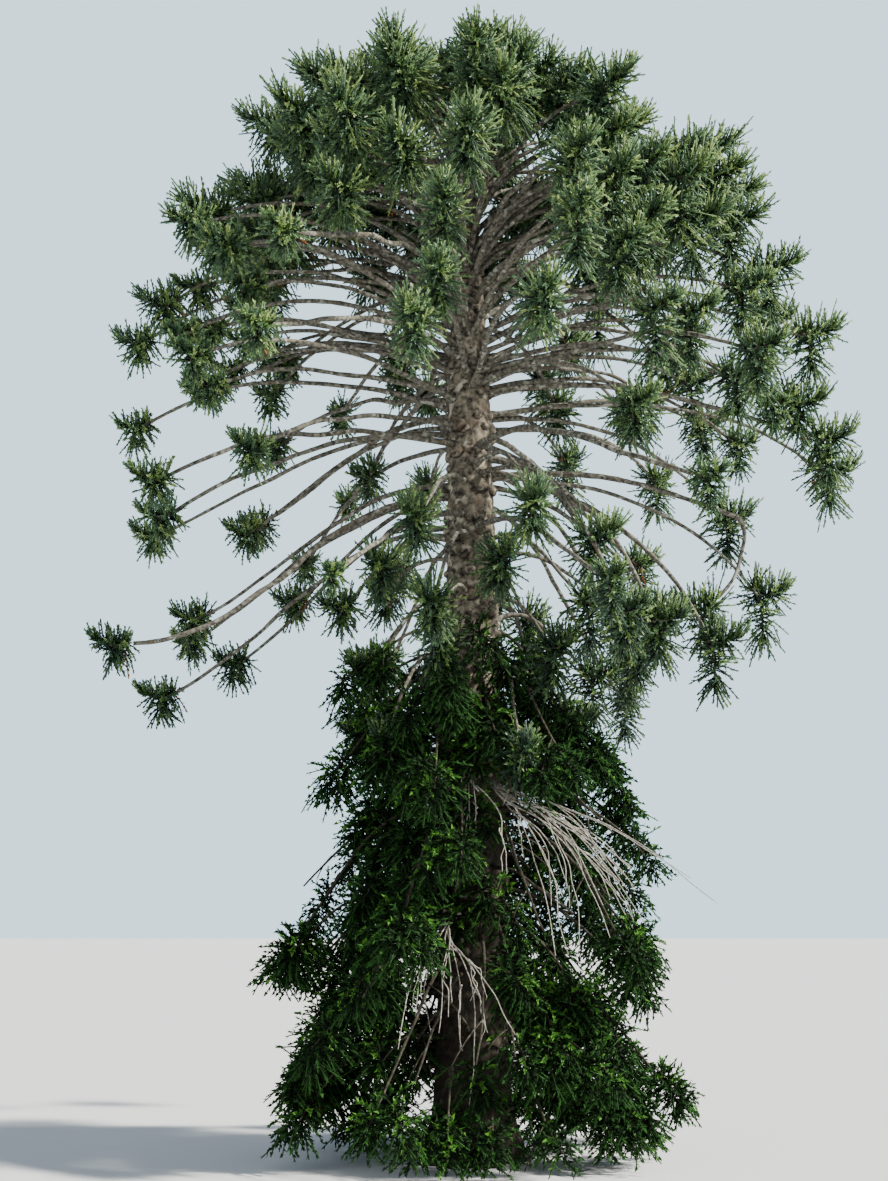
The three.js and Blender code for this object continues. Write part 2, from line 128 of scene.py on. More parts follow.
def ringed_tube(sides, courses):
    """A closed tube round +Z from 0 to 1, 1 in radius: its points and its triangles."""
    bm = bmesh.new()
    bmesh.ops.create_cone(bm, cap_ends=True, segments=sides, radius1=1, radius2=1, depth=1)
    bmesh.ops.translate(bm, verts=bm.verts, vec=(0, 0, 0.5))
    staves = [edge for edge in bm.edges if abs(edge.verts[0].co.z - edge.verts[1].co.z) > 0.5]
    bmesh.ops.subdivide_edges(bm, edges=staves, cuts=courses - 1)
    bmesh.ops.triangulate(bm, faces=bm.faces)
    bm.verts.index_update()
    points = np.array([vert.co[:] for vert in bm.verts])
    triangles = np.array([[vert.index for vert in face.verts] for face in bm.faces])
    bm.free()
    return points, triangles


def piece_from(name, points, triangles, material, slot, smooth, **marks):
    """A piece of the tree from its points and triangles, in metres, where it grows. Each mark gives every
    point a value that the material reads."""
    mesh = bpy.data.meshes.new(name)
    mesh.vertices.add(len(points))
    mesh.vertices.foreach_set("co", points.astype(np.float32).ravel())
    mesh.loops.add(3 * len(triangles))
    mesh.loops.foreach_set("vertex_index", triangles.astype(np.int32).ravel())
    mesh.polygons.add(len(triangles))
    mesh.polygons.foreach_set("loop_start", np.arange(0, 3 * len(triangles), 3, dtype=np.int32))
    mesh.polygons.foreach_set("use_smooth", np.full(len(triangles), smooth))
    mesh.materials.append(material)
    mesh.update(calc_edges=True)
    mesh.validate()
    for mark, values in marks.items():
        attribute = mesh.attributes.new(mark, "FLOAT", "POINT")
        attribute.data.foreach_set("value", values.astype(np.float32))
    piece = bpy.data.objects.new(name, mesh)
    bpy.context.scene.collection.objects.link(piece)
    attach(piece, "root")
    return piece


def linear(colour):
    """An sRGB hex colour as the linear colour that a shader takes."""
    channels = [(colour >> shift & 255) / 255 for shift in (16, 8, 0)]
    return [c / 12.92 if c <= 0.04045 else ((c + 0.055) / 1.055) ** 2.4 for c in channels] + [1]


def add_node(material, kind, links=None, **settings):
    """A shader node with its settings, and its sockets linked from others or given values."""
    node = material.node_tree.nodes.new(kind)
    for name, value in settings.items():
        setattr(node, name, value)
    for socket, value in (links or {}).items():
        if isinstance(value, bpy.types.NodeSocket):
            material.node_tree.links.new(value, node.inputs[socket])
        else:
            node.inputs[socket].default_value = value
    return node


def new_material(name):
    material = bpy.data.materials.new(name)
    material.use_nodes = True
    material.node_tree.nodes.clear()
    return material


# Painted shade for the trunk's pits and creases, darkest under each stub.
PAINTED_CREASE_SHADE = 0x1A1612
# Painted shadow of the skirt on the bark below it, which fades out between these heights.
PAINTED_SKIRT_SHADOW = 0x231F19
SKIRT_SHADOW_HEIGHTS = (7.5, 11.5)


def bark(name, dark, pale, stain, lichen, plate, crack, skirt_shadow_share=0):
    """Weathered bark: dull plates and cracks in two tones, with broad stains and small pale lichen spots.

    plate and crack are real sizes in metres. Painted shade darkens the bark where the mesh marks pits and
    creases, and the last argument gives the share of painted shadow that the skirt casts on the bark below
    it, which fades out above the skirt."""
    material = new_material(name)
    place = add_node(material, "ShaderNodeTexCoord").outputs["Object"]
    plates = add_node(material, "ShaderNodeTexNoise", {"Vector": place, "Scale": 1 / plate, "Detail": 5})
    stains = add_node(material, "ShaderNodeTexNoise", {"Vector": place, "Scale": 0.3 / plate, "Detail": 6})
    spots = add_node(material, "ShaderNodeTexNoise", {"Vector": place, "Scale": 0.5 / plate, "Detail": 6})
    cracks = add_node(material, "ShaderNodeTexVoronoi", {"Vector": place, "Scale": 1 / crack},
                      feature="DISTANCE_TO_EDGE")
    high = add_node(material, "ShaderNodeSeparateXYZ", {"Vector": place})
    # Painted shade in the pits and creases that the mesh marks.
    hollow = add_node(material, "ShaderNodeAttribute", attribute_name="hollow")
    tone = add_node(material, "ShaderNodeMapRange", {0: plates.outputs["Fac"], 1: 0.36, 2: 0.64})
    stained = add_node(material, "ShaderNodeMapRange", {0: stains.outputs["Fac"], 1: 0.56, 2: 0.7})
    spotted = add_node(material, "ShaderNodeMapRange", {0: spots.outputs["Fac"], 1: 0.58, 2: 0.7})
    # Painted shadow of the skirt: the bark below it is darker by that share, fading out between those
    # heights.
    skirt_shadow = add_node(material, "ShaderNodeMapRange", {0: high.outputs["Z"], 1: SKIRT_SHADOW_HEIGHTS[0],
                                                        2: SKIRT_SHADOW_HEIGHTS[1], 3: skirt_shadow_share, 4: 0})
    coats = [(tone.outputs[0], pale), (stained.outputs[0], stain), (spotted.outputs[0], lichen),
             (skirt_shadow.outputs[0], PAINTED_SKIRT_SHADOW), (hollow.outputs["Fac"], PAINTED_CREASE_SHADE)]
    colour = linear(dark)
    for share, coat in coats:
        mixed = add_node(material, "ShaderNodeMix", {0: share, 6: colour, 7: linear(coat)},
                         data_type="RGBA")
        colour = mixed.outputs[2]
    rough = add_node(material, "ShaderNodeMapRange", {0: plates.outputs["Fac"], 3: 0.78, 4: 0.96})
    deep = add_node(material, "ShaderNodeMapRange", {0: cracks.outputs["Distance"], 1: 0, 2: 0.12})
    fine = add_node(material, "ShaderNodeBump", {"Height": deep.outputs[0], "Strength": 0.35,
                                                 "Distance": 0.3 * crack})
    relief = add_node(material, "ShaderNodeBump", {"Height": plates.outputs["Fac"], "Strength": 0.4,
                                                   "Distance": 0.25 * plate, "Normal": fine.outputs[0]})
    shader = add_node(material, "ShaderNodeBsdfPrincipled", {"Base Color": colour,
                                                             "Roughness": rough.outputs[0],
                                                             "Normal": relief.outputs[0],
                                                             "Specular IOR Level": 0.25})
    add_node(material, "ShaderNodeOutputMaterial", {"Surface": shader.outputs[0]})
    return material


# Low on the trunk, under the skirt, the bark carries the skirt's painted shadow.
TRUNK_BARK = bark("bunya_pine_trunk_bark", dark=0x2C2924, pale=0x857C6B, stain=0x5E4F42, lichen=0xB4AD9C,
                  plate=0.14, crack=0.05, skirt_shadow_share=0.88)
Stub = namedtuple("Stub", "azimuth height radius proud width open_share")


def stub_seats(rings):
    """The bearing and height of each stub in those rings. Every other ring is turned by half a step."""
    for ring in range(int((rings.highest - rings.lowest) / rings.spacing) + 1):
        for i in range(rings.in_ring):
            yield 360 / rings.in_ring * (i + 0.5 * (ring % 2)), rings.lowest + ring * rings.spacing


def healed_stubs():
    """Every stub on the trunk: big ones as on the solid, and small ones in rings between them."""
    knot_draws = draws_from(29)
    stubs = [Stub(bearing + BIG_STUBS.play * next(knot_draws), height, **BIG_STUB)
             for bearing, height in stub_seats(BIG_STUBS)]
    rng = np.random.default_rng(41)
    for bearing, height in stub_seats(SMALL_STUBS):
        azimuth = bearing + rng.uniform(-SMALL_STUBS.play, SMALL_STUBS.play)
        radius = blend(1, 0.62, smooth_share(height, 15, 22)) * rng.uniform(*SMALL_STUB_RADII)
        middle = height + rng.uniform(-SMALL_STUB_LIFT, SMALL_STUB_LIFT)
        proud = radius * rng.uniform(0.55, 1.0)
        stubs.append(Stub(azimuth, middle, radius, proud, rng.uniform(1.0, 1.55), rng.random() ** 2))
    return stubs


def stub_relief(angle, height, stub):
    """How far a healed stub lifts the bark, and how much shade is painted on it: a round boss that hangs
    over a crease, with painted shade in its pit and in the crease, most under the boss.
    """
    apart = (angle - math.radians(stub.azimuth) + np.pi) % (2 * np.pi) - np.pi
    above = (height - stub.height) / stub.radius
    across = apart * trunk_radius(stub.height) / stub.radius / stub.width
    off = np.hypot(across, above * np.where(above > 0, 0.8, 1.15) - 0.25 * across ** 2)
    boss = np.clip(1 - off ** 2, 0, 1) ** 0.5
    pit = stub.open_share * np.exp(-(np.hypot(across, above + 0.15) / 0.34) ** 4)
    crease = np.exp(-((off - 1.12) / 0.2) ** 2)
    lift = stub.proud * (boss - 0.55 * pit) - np.where(above < 0, 0.035, 0.01) * crease
    # The second value is painted shade: in the stub's pit, and in the crease round it, far darker under the
    # boss than over it.
    return lift, np.clip(0.85 * pit + crease * np.where(above < 0, 1.0, 0.12), 0, 1)


def bark_relief(angle, height):
    """Everything that stands proud of the trunk's plain taper, in metres, and how much shade is painted in
    its hollows.
    """
    on_bole = np.stack([np.cos(angle) * FOOT_RADIUS, np.sin(angle) * FOOT_RADIUS, height], axis=1)
    relief = sum(proud * lumps(on_bole + shift, apart) for proud, apart, shift in BARK_LUMPS)
    hollow = np.zeros(len(angle))
    for stub in healed_stubs():
        near = np.abs(height - stub.height) < 1.8 * stub.radius
        lift, stub_shade = stub_relief(angle[near], height[near], stub)
        relief[near] += lift
        hollow[near] = np.maximum(hollow[near], stub_shade)
    return relief, hollow


def grow_trunk():
    tube, triangles = ringed_tube(TRUNK_SIDES, TRUNK_COURSES)
    angle = np.arctan2(tube[:, 1], tube[:, 0])
    height = tube[:, 2] ** COURSE_POWER * TRUNK_TOP
    flare = np.exp(-height / FLARE_HEIGHT)
    lobes = 1 + BUTTRESS_SHARE * flare * np.cos(BUTTRESSES * angle)
    radius = (trunk_radius(height) + FLARE_REACH * flare) * lobes
    relief, hollow = bark_relief(angle, height)
    radius += relief * smooth_share(TRUNK_TOP - height, 0, SMOOTH_TOP)
    along_x = trunk_centre(height) + radius * np.cos(angle)
    points = np.stack([along_x, radius * np.sin(angle), height], axis=1)
    # Each point carries how much shade is painted on it, in the pits and creases round the stubs.
    piece = piece_from("bark_of_trunk", points, triangles, TRUNK_BARK, "trunk_bark", True, hollow=hollow)
    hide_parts("trunk")


grow_trunk()

# The boughs: long bare limbs that spring from the trunk in whorls, arch out and droop. Their bark is thin,
# grey-brown and scarred, with pale spots of lichen. Each carries its leaves only at the very end.
Whorl = namedtuple("Whorl", "name height limbs sectors bough reach tip launch arrive first gap mop")
# Heights, reach and tip are in metres. Launch and arrive tell in degrees how steeply a limb starts and
# ends, first is the first one's bearing, and gap is how wide a part of the ring stays empty.
WHORLS = [
    Whorl("crown", 22.9, 8, 2, False, 2.85, 24.6, 68, 20, 24, 0, 1.0),
    Whorl("dome", 21.7, 12, 3, False, 4.3, 23.45, 58, 0, 8, 0, 1.0),
    Whorl("shoulder", 20.4, 12, 3, True, 5.75, 21.3, 44, -14, -6, 0, 1.0),
    Whorl("upper", 19.1, 15, 3, True, 7.05, 19.15, 28, -16, 2, 0, 1.0),
    Whorl("middle", 17.8, 15, 3, True, 7.75, 16.9, 14, -18, -3, 0, 1.0),
    Whorl("lower", 16.5, 12, 3, True, 7.7, 14.2, 6, -20, 308, 50, 1.0),
    Whorl("hanging", 15.3, 8, 2, True, 7.9, 11.5, 0, -4, 195, 0, 1.0),
    Whorl("inner", 14.1, 8, 2, False, 3.0, 12.5, 24, -26, 10, 0, 1.0),
]
# Smaller limbs fill in between those whorls, closest in the dome, all inside the same outline.
FILLERS = [
    Whorl("crown_heart", 23.6, 6, 1, False, 1.9, 25.2, 74, 30, 50, 0, 0.9),
    Whorl("dome_heart", 22.3, 10, 1, False, 3.5, 24.05, 64, 10, 33, 0, 1.0),
    Whorl("shoulder_heart", 21.0, 11, 1, False, 4.8, 22.6, 52, -6, 12, 0, 1.0),
    Whorl("dome_back", 22.4, 6, 1, False, 2.7, 23.0, 60, -4, 4, 170, 1.0),
    Whorl("shoulder_back", 21.2, 6, 1, False, 4.0, 21.6, 54, -10, 0, 170, 1.0),
    Whorl("upper_back", 20.3, 5, 1, False, 5.4, 19.4, 42, -24, 26, 210, 0.9),
    Whorl("west_upper", 19.9, 6, 1, False, 6.2, 20.6, 36, -16, 148, 290, 0.75),
    Whorl("west_middle", 18.5, 6, 1, False, 6.7, 18.2, 24, -20, 152, 290, 0.75),
    Whorl("east_middle", 18.3, 4, 1, False, 6.6, 17.4, 22, -24, -10, 310, 0.75),
    Whorl("right_heart", 16.3, 5, 1, False, 5.2, 11.5, -14, -54, -52, 250, 0.95),
    Whorl("low_heart", 12.7, 7, 1, False, 2.5, 11.0, 30, -34, 255, 0, 1.0),
    Whorl("foot_heart", 11.3, 6, 1, False, 2.3, 9.2, 30, -40, 285, 0, 0.9),
]
# The mops that show best in the photo: across, away from the camera and up, and where their limb springs.
SHOWN_MOPS = [
    (-2.1, 0.8, 26.1, 23.9), (1.1, 0.5, 26.2, 24.2), (-3.4, 0.3, 25.5, 23.4), (-1.5, -1.8, 24.7, 23.3),
    (0.1, -2.6, 24.1, 22.9), (1.5, -1.8, 24.3, 23.1), (-4.8, 0.2, 24.4, 22.6), (-2.3, -2.6, 23.0, 22.2),
    (-1.5, -4.2, 21.6, 21.2), (-2.8, -4.4, 20.6, 20.6), (-0.7, -6.3, 17.8, 19.2), (2.9, -4.4, 20.6, 20.8),
    (5.8, 0.3, 23.5, 22.4), (5.6, -1.6, 21.9, 21.4), (6.4, 0.6, 22.4, 21.2), (4.6, -3.0, 21.2, 21.0),
    (5.0, -2.4, 20.4, 20.4), (3.1, -4.8, 18.8, 19.6), (7.0, -0.8, 19.8, 19.9), (8.0, -0.6, 18.2, 18.9),
    (4.8, -3.0, 17.9, 18.8), (6.0, -1.8, 16.8, 18.4), (7.7, -0.3, 16.6, 18.0), (3.4, -4.0, 15.6, 17.6),
    (1.2, -4.6, 13.4, 15.6), (2.6, -3.8, 12.8, 15.4), (6.3, 1.8, 14.4, 16.8), (8.6, 0.8, 15.2, 16.9),
    (4.6, 1.5, 12.0, 15.2), (7.0, 1.2, 12.4, 15.4), (2.3, 3.5, 17.7, 19.0), (-7.3, 0.2, 19.7, 20.1),
    (-8.0, 0.6, 18.8, 19.5), (-4.9, 2.2, 18.0, 19.3), (-1.7, 3.4, 18.7, 19.8), (-2.5, 2.4, 16.0, 18.0),
    (-1.2, -3.4, 13.5, 15.2), (-0.9, -4.0, 11.6, 13.9), (-5.5, 1.0, 21.7, 21.4), (-5.1, 1.2, 23.2, 22.2),
    (-5.4, 1.5, 14.1, 16.6), (-7.6, 0.8, 13.8, 16.4), (-6.6, 1.0, 11.8, 15.2), (-5.7, 2.0, 10.9, 14.6),
    (-7.2, 0.4, 9.9, 14.2), (-4.2, 1.6, 12.3, 15.0),
]
REACH_STEPS = (1, 0.8, 0.97, 0.74, 0.88)
TIP_LIFT = 0.36
AZIMUTH_PLAY = 7
REACH_PLAY = 0.05
TIP_PLAY = 0.42
SWAY_PLAY = 0.26
LAUNCH_PLAY = 9
HEIGHT_STEP = 0.4
HANDLE_SHARE = 0.38
MOP_LENGTH = 1.0
MOP_START = 0.15
MOP_SAG = 0.33
FAN_DROOP = 20
BOUGH_RADII = (0.085, 0.048)
LIMB_RADII = (0.074, 0.042)
LEADER_RADII = (0.034, 0.03)
LEADER_TIP = 26.45
LEADER_REACH = 0.82
LEADER_SHOOTS = 3
WANDER = 0.075
WANDER_LENGTH = 0.9
COLLAR_LENGTH = 0.16
COLLAR_SWELL = 0.7
LIMB_FOOT = 0.75
ROOT_DROP = 0.2
ROOT_STAGGER = 0.14
NECK_BACK = 0.4
NECK_RISE = (0.35, 0.7)
DOME_NECK_DROP = 0.35
SHOWN_SLIM = 0.9
LIMB_POINTS = 65
STEM_POINTS = 21
# The crown is open round the curled bough: no limb of these two whorls ends at this bearing and height.
CURL_CLEARING = {"whorls": ("lower", "hanging"), "bearing": (-40, 30), "height": (11.8, 15.2)}
limb_draws = draws_from(27)


def unit(vectors):
    return vectors / np.maximum(np.linalg.norm(vectors, axis=-1, keepdims=True), 1e-9)


def heading(flat, elevation):
    """A direction over the bearing of flat that stands at that many degrees above the level."""
    level = unit(flat * (1, 1, 0))
    return level * math.cos(math.radians(elevation)) + UP * math.sin(math.radians(elevation))


def bezier(*corners, count=LIMB_POINTS):
    shares = np.linspace(0, 1, count)[:, None]
    layers = [np.broadcast_to(corner, (count, 3)) for corner in corners]
    while len(layers) > 1:
        layers = [blend(a, b, shares) for a, b in zip(layers, layers[1:])]
    return layers[0]


def limb_line(start, end, launch, arrive, sway):
    handle = HANDLE_SHARE * np.linalg.norm(end - start)
    level = unit((end - start) * (1, 1, 0))
    sideways = np.array([-level[1], level[0], 0]) * sway
    return bezier(start, start + heading(end - start, launch) * handle + sideways,
                  end - heading(end - start, arrive) * handle + sideways, end)


def walk(line, shares):
    """Points at even shares of a line's length."""
    steps = np.linalg.norm(np.diff(line, axis=0), axis=1)
    run = np.concatenate([[0], np.cumsum(steps)]) / steps.sum()
    return np.stack([np.interp(shares, run, line[:, i]) for i in range(3)], axis=-1)


def point_at(line, share):
    return walk(line, np.array([share]))[0]


def length_of(line):
    return np.linalg.norm(np.diff(line, axis=0), axis=1).sum()


def sides_of(runs):
    """The directions to the left of a run and square above it."""
    across = np.cross(UP, runs)
    flat = np.linalg.norm(across, axis=-1, keepdims=True) < 0.05
    across = unit(np.where(flat, np.array([1.0, 0.0, 0.0]), across))
    return across, np.cross(runs, across)


LIMB_TUBE = ringed_tube(sides=8, courses=30)
BOUGH_TUBE = ringed_tube(sides=10, courses=56)


def carried_sides(runs):
    """The same two directions, carried along a line without a twist."""
    across = [sides_of(runs[0])[0]]
    for run in runs[1:]:
        across.append(unit(across[-1] - run * (across[-1] @ run)))
    across = np.array(across)
    return across, np.cross(runs, across)


def limb_skin(tube, line, root_radius, tip_radius, seed):
    """A tube laid along a line, with a collar at its root, swellings and a slight wander."""
    points, triangles = tube
    share, level = np.unique(np.round(points[:, 2], 6), return_inverse=True)
    level = level.ravel()
    far = share * length_of(line)
    places = np.stack([far, np.full(len(far), seed), np.zeros(len(far))], axis=1)
    wander = np.stack([lumps(places + (0, 0, 7 * k), WANDER_LENGTH) for k in range(3)], axis=1)
    middle = walk(line, share) + WANDER * wander * np.sin(np.pi * np.clip(share, 0, 1))[:, None]
    across, above = carried_sides(unit(np.gradient(middle, axis=0)))
    collar = 1 + COLLAR_SWELL * np.exp(-far / COLLAR_LENGTH)
    radius = blend(root_radius, tip_radius, share ** 0.8) * collar
    offset = (across[level] * points[:, :1] + above[level] * points[:, 1:2]) * radius[level, None]
    skin = middle[level] + offset
    swelling = 1 + 0.16 * lumps(skin, 0.16) + 0.1 * lumps(skin + 5, 0.07)
    return middle[level] + offset * swelling[:, None], triangles


def stacked(parts):
    """Several meshes as one, from their points and triangles."""
    starts = np.cumsum([0] + [len(points) for points, _ in parts[:-1]])
    points = np.concatenate([points for points, _ in parts])
    triangles = np.concatenate([triangles + start for start, (_, triangles) in zip(starts, parts)])
    return points, triangles


def limb_ends(whorl, number, draws):
    """Where a limb of a whorl goes, by the draws that the solids were grown with."""
    azimuth = whorl.first + number * (360 - whorl.gap) / whorl.limbs + AZIMUTH_PLAY * next(draws)
    reach = whorl.reach * REACH_STEPS[number % len(REACH_STEPS)] * (1 + REACH_PLAY * next(draws))
    tip = whorl.tip + TIP_LIFT * (whorl.reach - reach) + TIP_PLAY * next(draws)
    return azimuth, reach, tip, SWAY_PLAY * next(draws)


def in_clearing(whorl, azimuth, tip):
    bearing = (azimuth + 180) % 360 - 180
    first, last = CURL_CLEARING["bearing"]
    low, high = CURL_CLEARING["height"]
    return whorl.name in CURL_CLEARING["whorls"] and first < bearing < last and low < tip < high


def mop_end(point, direction):
    return point + direction * MOP_LENGTH - UP * MOP_SAG


BOUGH_BARK = bark("bunya_pine_bough_bark", dark=0x37352E, pale=0x7D796D, stain=0x5A5142, lichen=0xA3A497,
                  plate=0.09, crack=0.03)
CURL_AZIMUTH = 2
CURL_HEIGHT = 15.35
CURL_STEPS = [(5.0, 15.45), (6.25, 14.5), (6.5, 13.45), (5.75, 12.55)]
CURL_RADII = {"bend": 0.052, "tip": 0.04}
CURL_FOOT = 0.7
mops = []
limb_parts = []


def grow_bough(name, line, root_radius, tip_radius, seed):
    points, triangles = limb_skin(BOUGH_TUBE, line, root_radius, tip_radius, seed)
    piece = piece_from(f"bark_of_{name}", points, triangles, BOUGH_BARK, "bough_bark", True)
    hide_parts(name)


def stem_after(line):
    """The stem of the mop that carries on a bough past its end."""
    tip = line[-1]
    direction = unit(tip - line[-2])
    return bezier(tip, tip + direction * 0.5 * MOP_LENGTH, mop_end(tip, direction), count=STEM_POINTS)


def grow_curled_bough():
    """The bough on the right that runs out level, then curls down and back under itself."""
    level, shoulder, turn, end = (around(CURL_AZIMUTH, reach, height) for reach, height in CURL_STEPS)
    root = around(CURL_AZIMUTH, trunk_radius(CURL_HEIGHT) * CURL_FOOT, CURL_HEIGHT)
    run = bezier(root, around(CURL_AZIMUTH, 2.2, CURL_HEIGHT + 0.35), level + (-1.2, 0, 0.06), shoulder)
    heel = unit(run[-1] - run[-2])
    curl = bezier(run[-1], run[-1] + heel * 0.42, turn, end)
    grow_bough("hanging_bough_2_run", run, BOUGH_RADII[0], CURL_RADII["bend"], seed=71)
    grow_bough("hanging_bough_2_curl", curl, BOUGH_RADII[1], CURL_RADII["tip"], seed=72)
    mops.append((stem_after(curl), 1))


def grow_limb(root, neck, launch, arrive, sway, slim, mop, seed):
    """A bare limb from the trunk to its neck, where its mop's stem carries on."""
    end = mop_end(neck, heading(neck - root, arrive))
    line = limb_line(root, end, launch, arrive - FAN_DROOP, sway)
    bare = 1 - MOP_LENGTH / length_of(line)
    limb_parts.append(limb_skin(LIMB_TUBE, walk(line, np.linspace(0, bare, LIMB_POINTS)),
                                LIMB_RADII[0] * slim, LIMB_RADII[1] * slim, seed))
    mop_start = bare - MOP_START / length_of(line)
    mops.append((walk(line, np.linspace(mop_start, 1, STEM_POINTS)), mop))


def grow_whorl(whorl, draws, solid):
    per_sector = whorl.limbs // whorl.sectors
    for sector in range(whorl.sectors):
        ends = [limb_ends(whorl, sector * per_sector + i, draws) for i in range(per_sector)]
        height = whorl.height + HEIGHT_STEP * (sector - 1) * solid
        for i, (azimuth, reach, tip, sway) in enumerate(ends):
            main = whorl.bough and i == 0
            if main and whorl.name == "hanging" and sector == 1:
                grow_curled_bough()
                continue
            if not main and in_clearing(whorl, azimuth, tip):
                continue
            root_height = height - (0 if main else ROOT_DROP + ROOT_STAGGER * ((i * 7) % 5))
            root = around(azimuth, trunk_radius(root_height) * LIMB_FOOT, root_height)
            neck = around(azimuth, reach, tip)
            seed = 100 * len(mops) + sector
            if main:
                line = limb_line(root, neck, whorl.launch, whorl.arrive, sway)
                grow_bough(f"{whorl.name}_bough_{sector + 1}", line, *BOUGH_RADII, seed)
                mops.append((stem_after(line), whorl.mop))
            else:
                slim = blend(0.8, 1, smooth_share(whorl.reach, 2, 6))
                launch = whorl.launch + LAUNCH_PLAY * sway / SWAY_PLAY
                grow_limb(root, neck, launch, whorl.arrive, sway, slim, whorl.mop, seed)


for whorl in WHORLS:
    grow_whorl(whorl, limb_draws, 1)
filler_draws = draws_from(57)
for whorl in FILLERS:
    grow_whorl(whorl, filler_draws, 0)


def grow_shown():
    """The limbs of the mops that show best. The higher one springs, the more steeply it rises first."""
    for number, (*mop, root_height) in enumerate(SHOWN_MOPS):
        mop = np.array(mop)
        axis = around(0, 0, root_height)
        level = unit((mop - axis) * (1, 1, 0))
        neck = mop - level * NECK_BACK + UP * blend(*NECK_RISE, smooth_share(mop[0], -5, 5))
        neck -= UP * DOME_NECK_DROP * smooth_share(mop[2], 17, 24)
        root = axis + level * trunk_radius(root_height) * LIMB_FOOT
        slope = math.degrees(math.atan2(neck[2] - root[2], np.linalg.norm((neck - root)[:2])))
        launch = max(blend(4, 60, smooth_share(root_height, 15, 24)), slope + 16)
        trailing = smooth_share(-mop[0], 1, 3) * smooth_share(-mop[2], -16, -13)
        launch = blend(launch, slope + 14, smooth_share(-slope, 25, 45))
        arrive = slope - blend(22, -30, trailing)
        sway = SWAY_PLAY * next(filler_draws)
        grow_limb(root, neck, launch, arrive, sway, SHOWN_SLIM, 1.0, 900 + number)


grow_shown()


def grow_leader():
    """The leader goes on past the trunk's top as one upright shoot with three more springing from it."""
    foot = around(0, 0, TRUNK_TOP)
    top = np.array([foot[0] + LEADER_REACH / 3, 0, LEADER_TIP])
    lead = bezier(foot, foot + UP * 0.35, foot + UP * 0.7, top)
    lines = [lead]
    for i in range(LEADER_SHOOTS):
        end = around(40 + 360 // LEADER_SHOOTS * i, LEADER_REACH, LEADER_TIP - 0.15 * (i + 1))
        lines.append(limb_line(point_at(lead, 0.12 + 0.1 * i), end, 52, 38, 0))
    for line in lines:
        mops.append((walk(line, np.linspace(0.12, 0.85, STEM_POINTS)), 0.8))
        bare_part = walk(line, np.linspace(0, 0.3, STEM_POINTS))
        limb_parts.append(limb_skin(LIMB_TUBE, bare_part, *LEADER_RADII, seed=5))


grow_leader()
piece_from("crown_limbs", *stacked(limb_parts), BOUGH_BARK, "bough_bark", True)

# The mops: dense heads of leafy branchlets at the limbs' ends. The stem turns up there, and young ones curl
# up round it like fingers, while old ones hang in a tail. Hard pointed leaves clothe them all round.
GOLDEN = math.radians(137.508)
CROWN_BRANCHLETS = 68
CROWN_REACH = 0.52
TAIL_BRANCHLETS = 70
TAIL_REACH = 0.64
TAIL_LENGTH = {"left": 0.35, "right": 0.9}
MOP_LEAVES = 6
MOP_LEAF = {"length": 0.105, "width": 0.078, "opening": 50}
SHOOT_RADIUS = 0.023
STEM_RADII = (0.036, 0.014)
LEAFY_FROM = 0.2
LEAF_KEEL = 0.014
LEAF_PATCH = 1 / 9
CROWN_SHADE = 0.6
SHADE_HEIGHTS = (9, 14)
TRUNK_GAP = 0.06
GROUND_GAP = 0.14
MOST_TRIANGLES = 190000
Habit = namedtuple("Habit", "opened closed lift rise fall")
CROWN_HABIT = Habit(125, 14, 0.2, 0.75, -0.4)
DOME_HABIT = Habit(118, 18, 0.2, 0.3, -0.3)
TAIL_HABIT = Habit(112, 42, 0.05, 0.0, -0.4)
DOME_FROM = 19.5
DOME_TILT = 0.9
DOME_SIZE = 1.25
SMALLER_AT_LEFT = 0.25
SMALLER_IN_FRONT = 0.35
SIDEWAYS_BEND = 0.15
BEND_POWER = 2.2
SUN_SIDE = np.array([0.66, -0.44, 0.61])
Branchlets = namedtuple("Branchlets", "roots directions lengths bends kinds")
DARK, FRESH, SUNNY, DEAD = range(4)


def gathered(groups):
    return Branchlets(*(np.concatenate(column) for column in zip(*groups)))


def chosen(branchlets, which):
    return Branchlets(*(column[which] for column in branchlets))


def along(branchlets, shares):
    """Points and directions at those shares of every branchlet, which bends more towards its end."""
    share = shares[None, :, None]
    reach = branchlets.directions[:, None] * branchlets.lengths[:, None, None]
    bend = branchlets.bends[:, None]
    points = branchlets.roots[:, None] + reach * share + bend * share ** BEND_POWER
    return points, unit(reach + BEND_POWER * bend * share ** (BEND_POWER - 1))


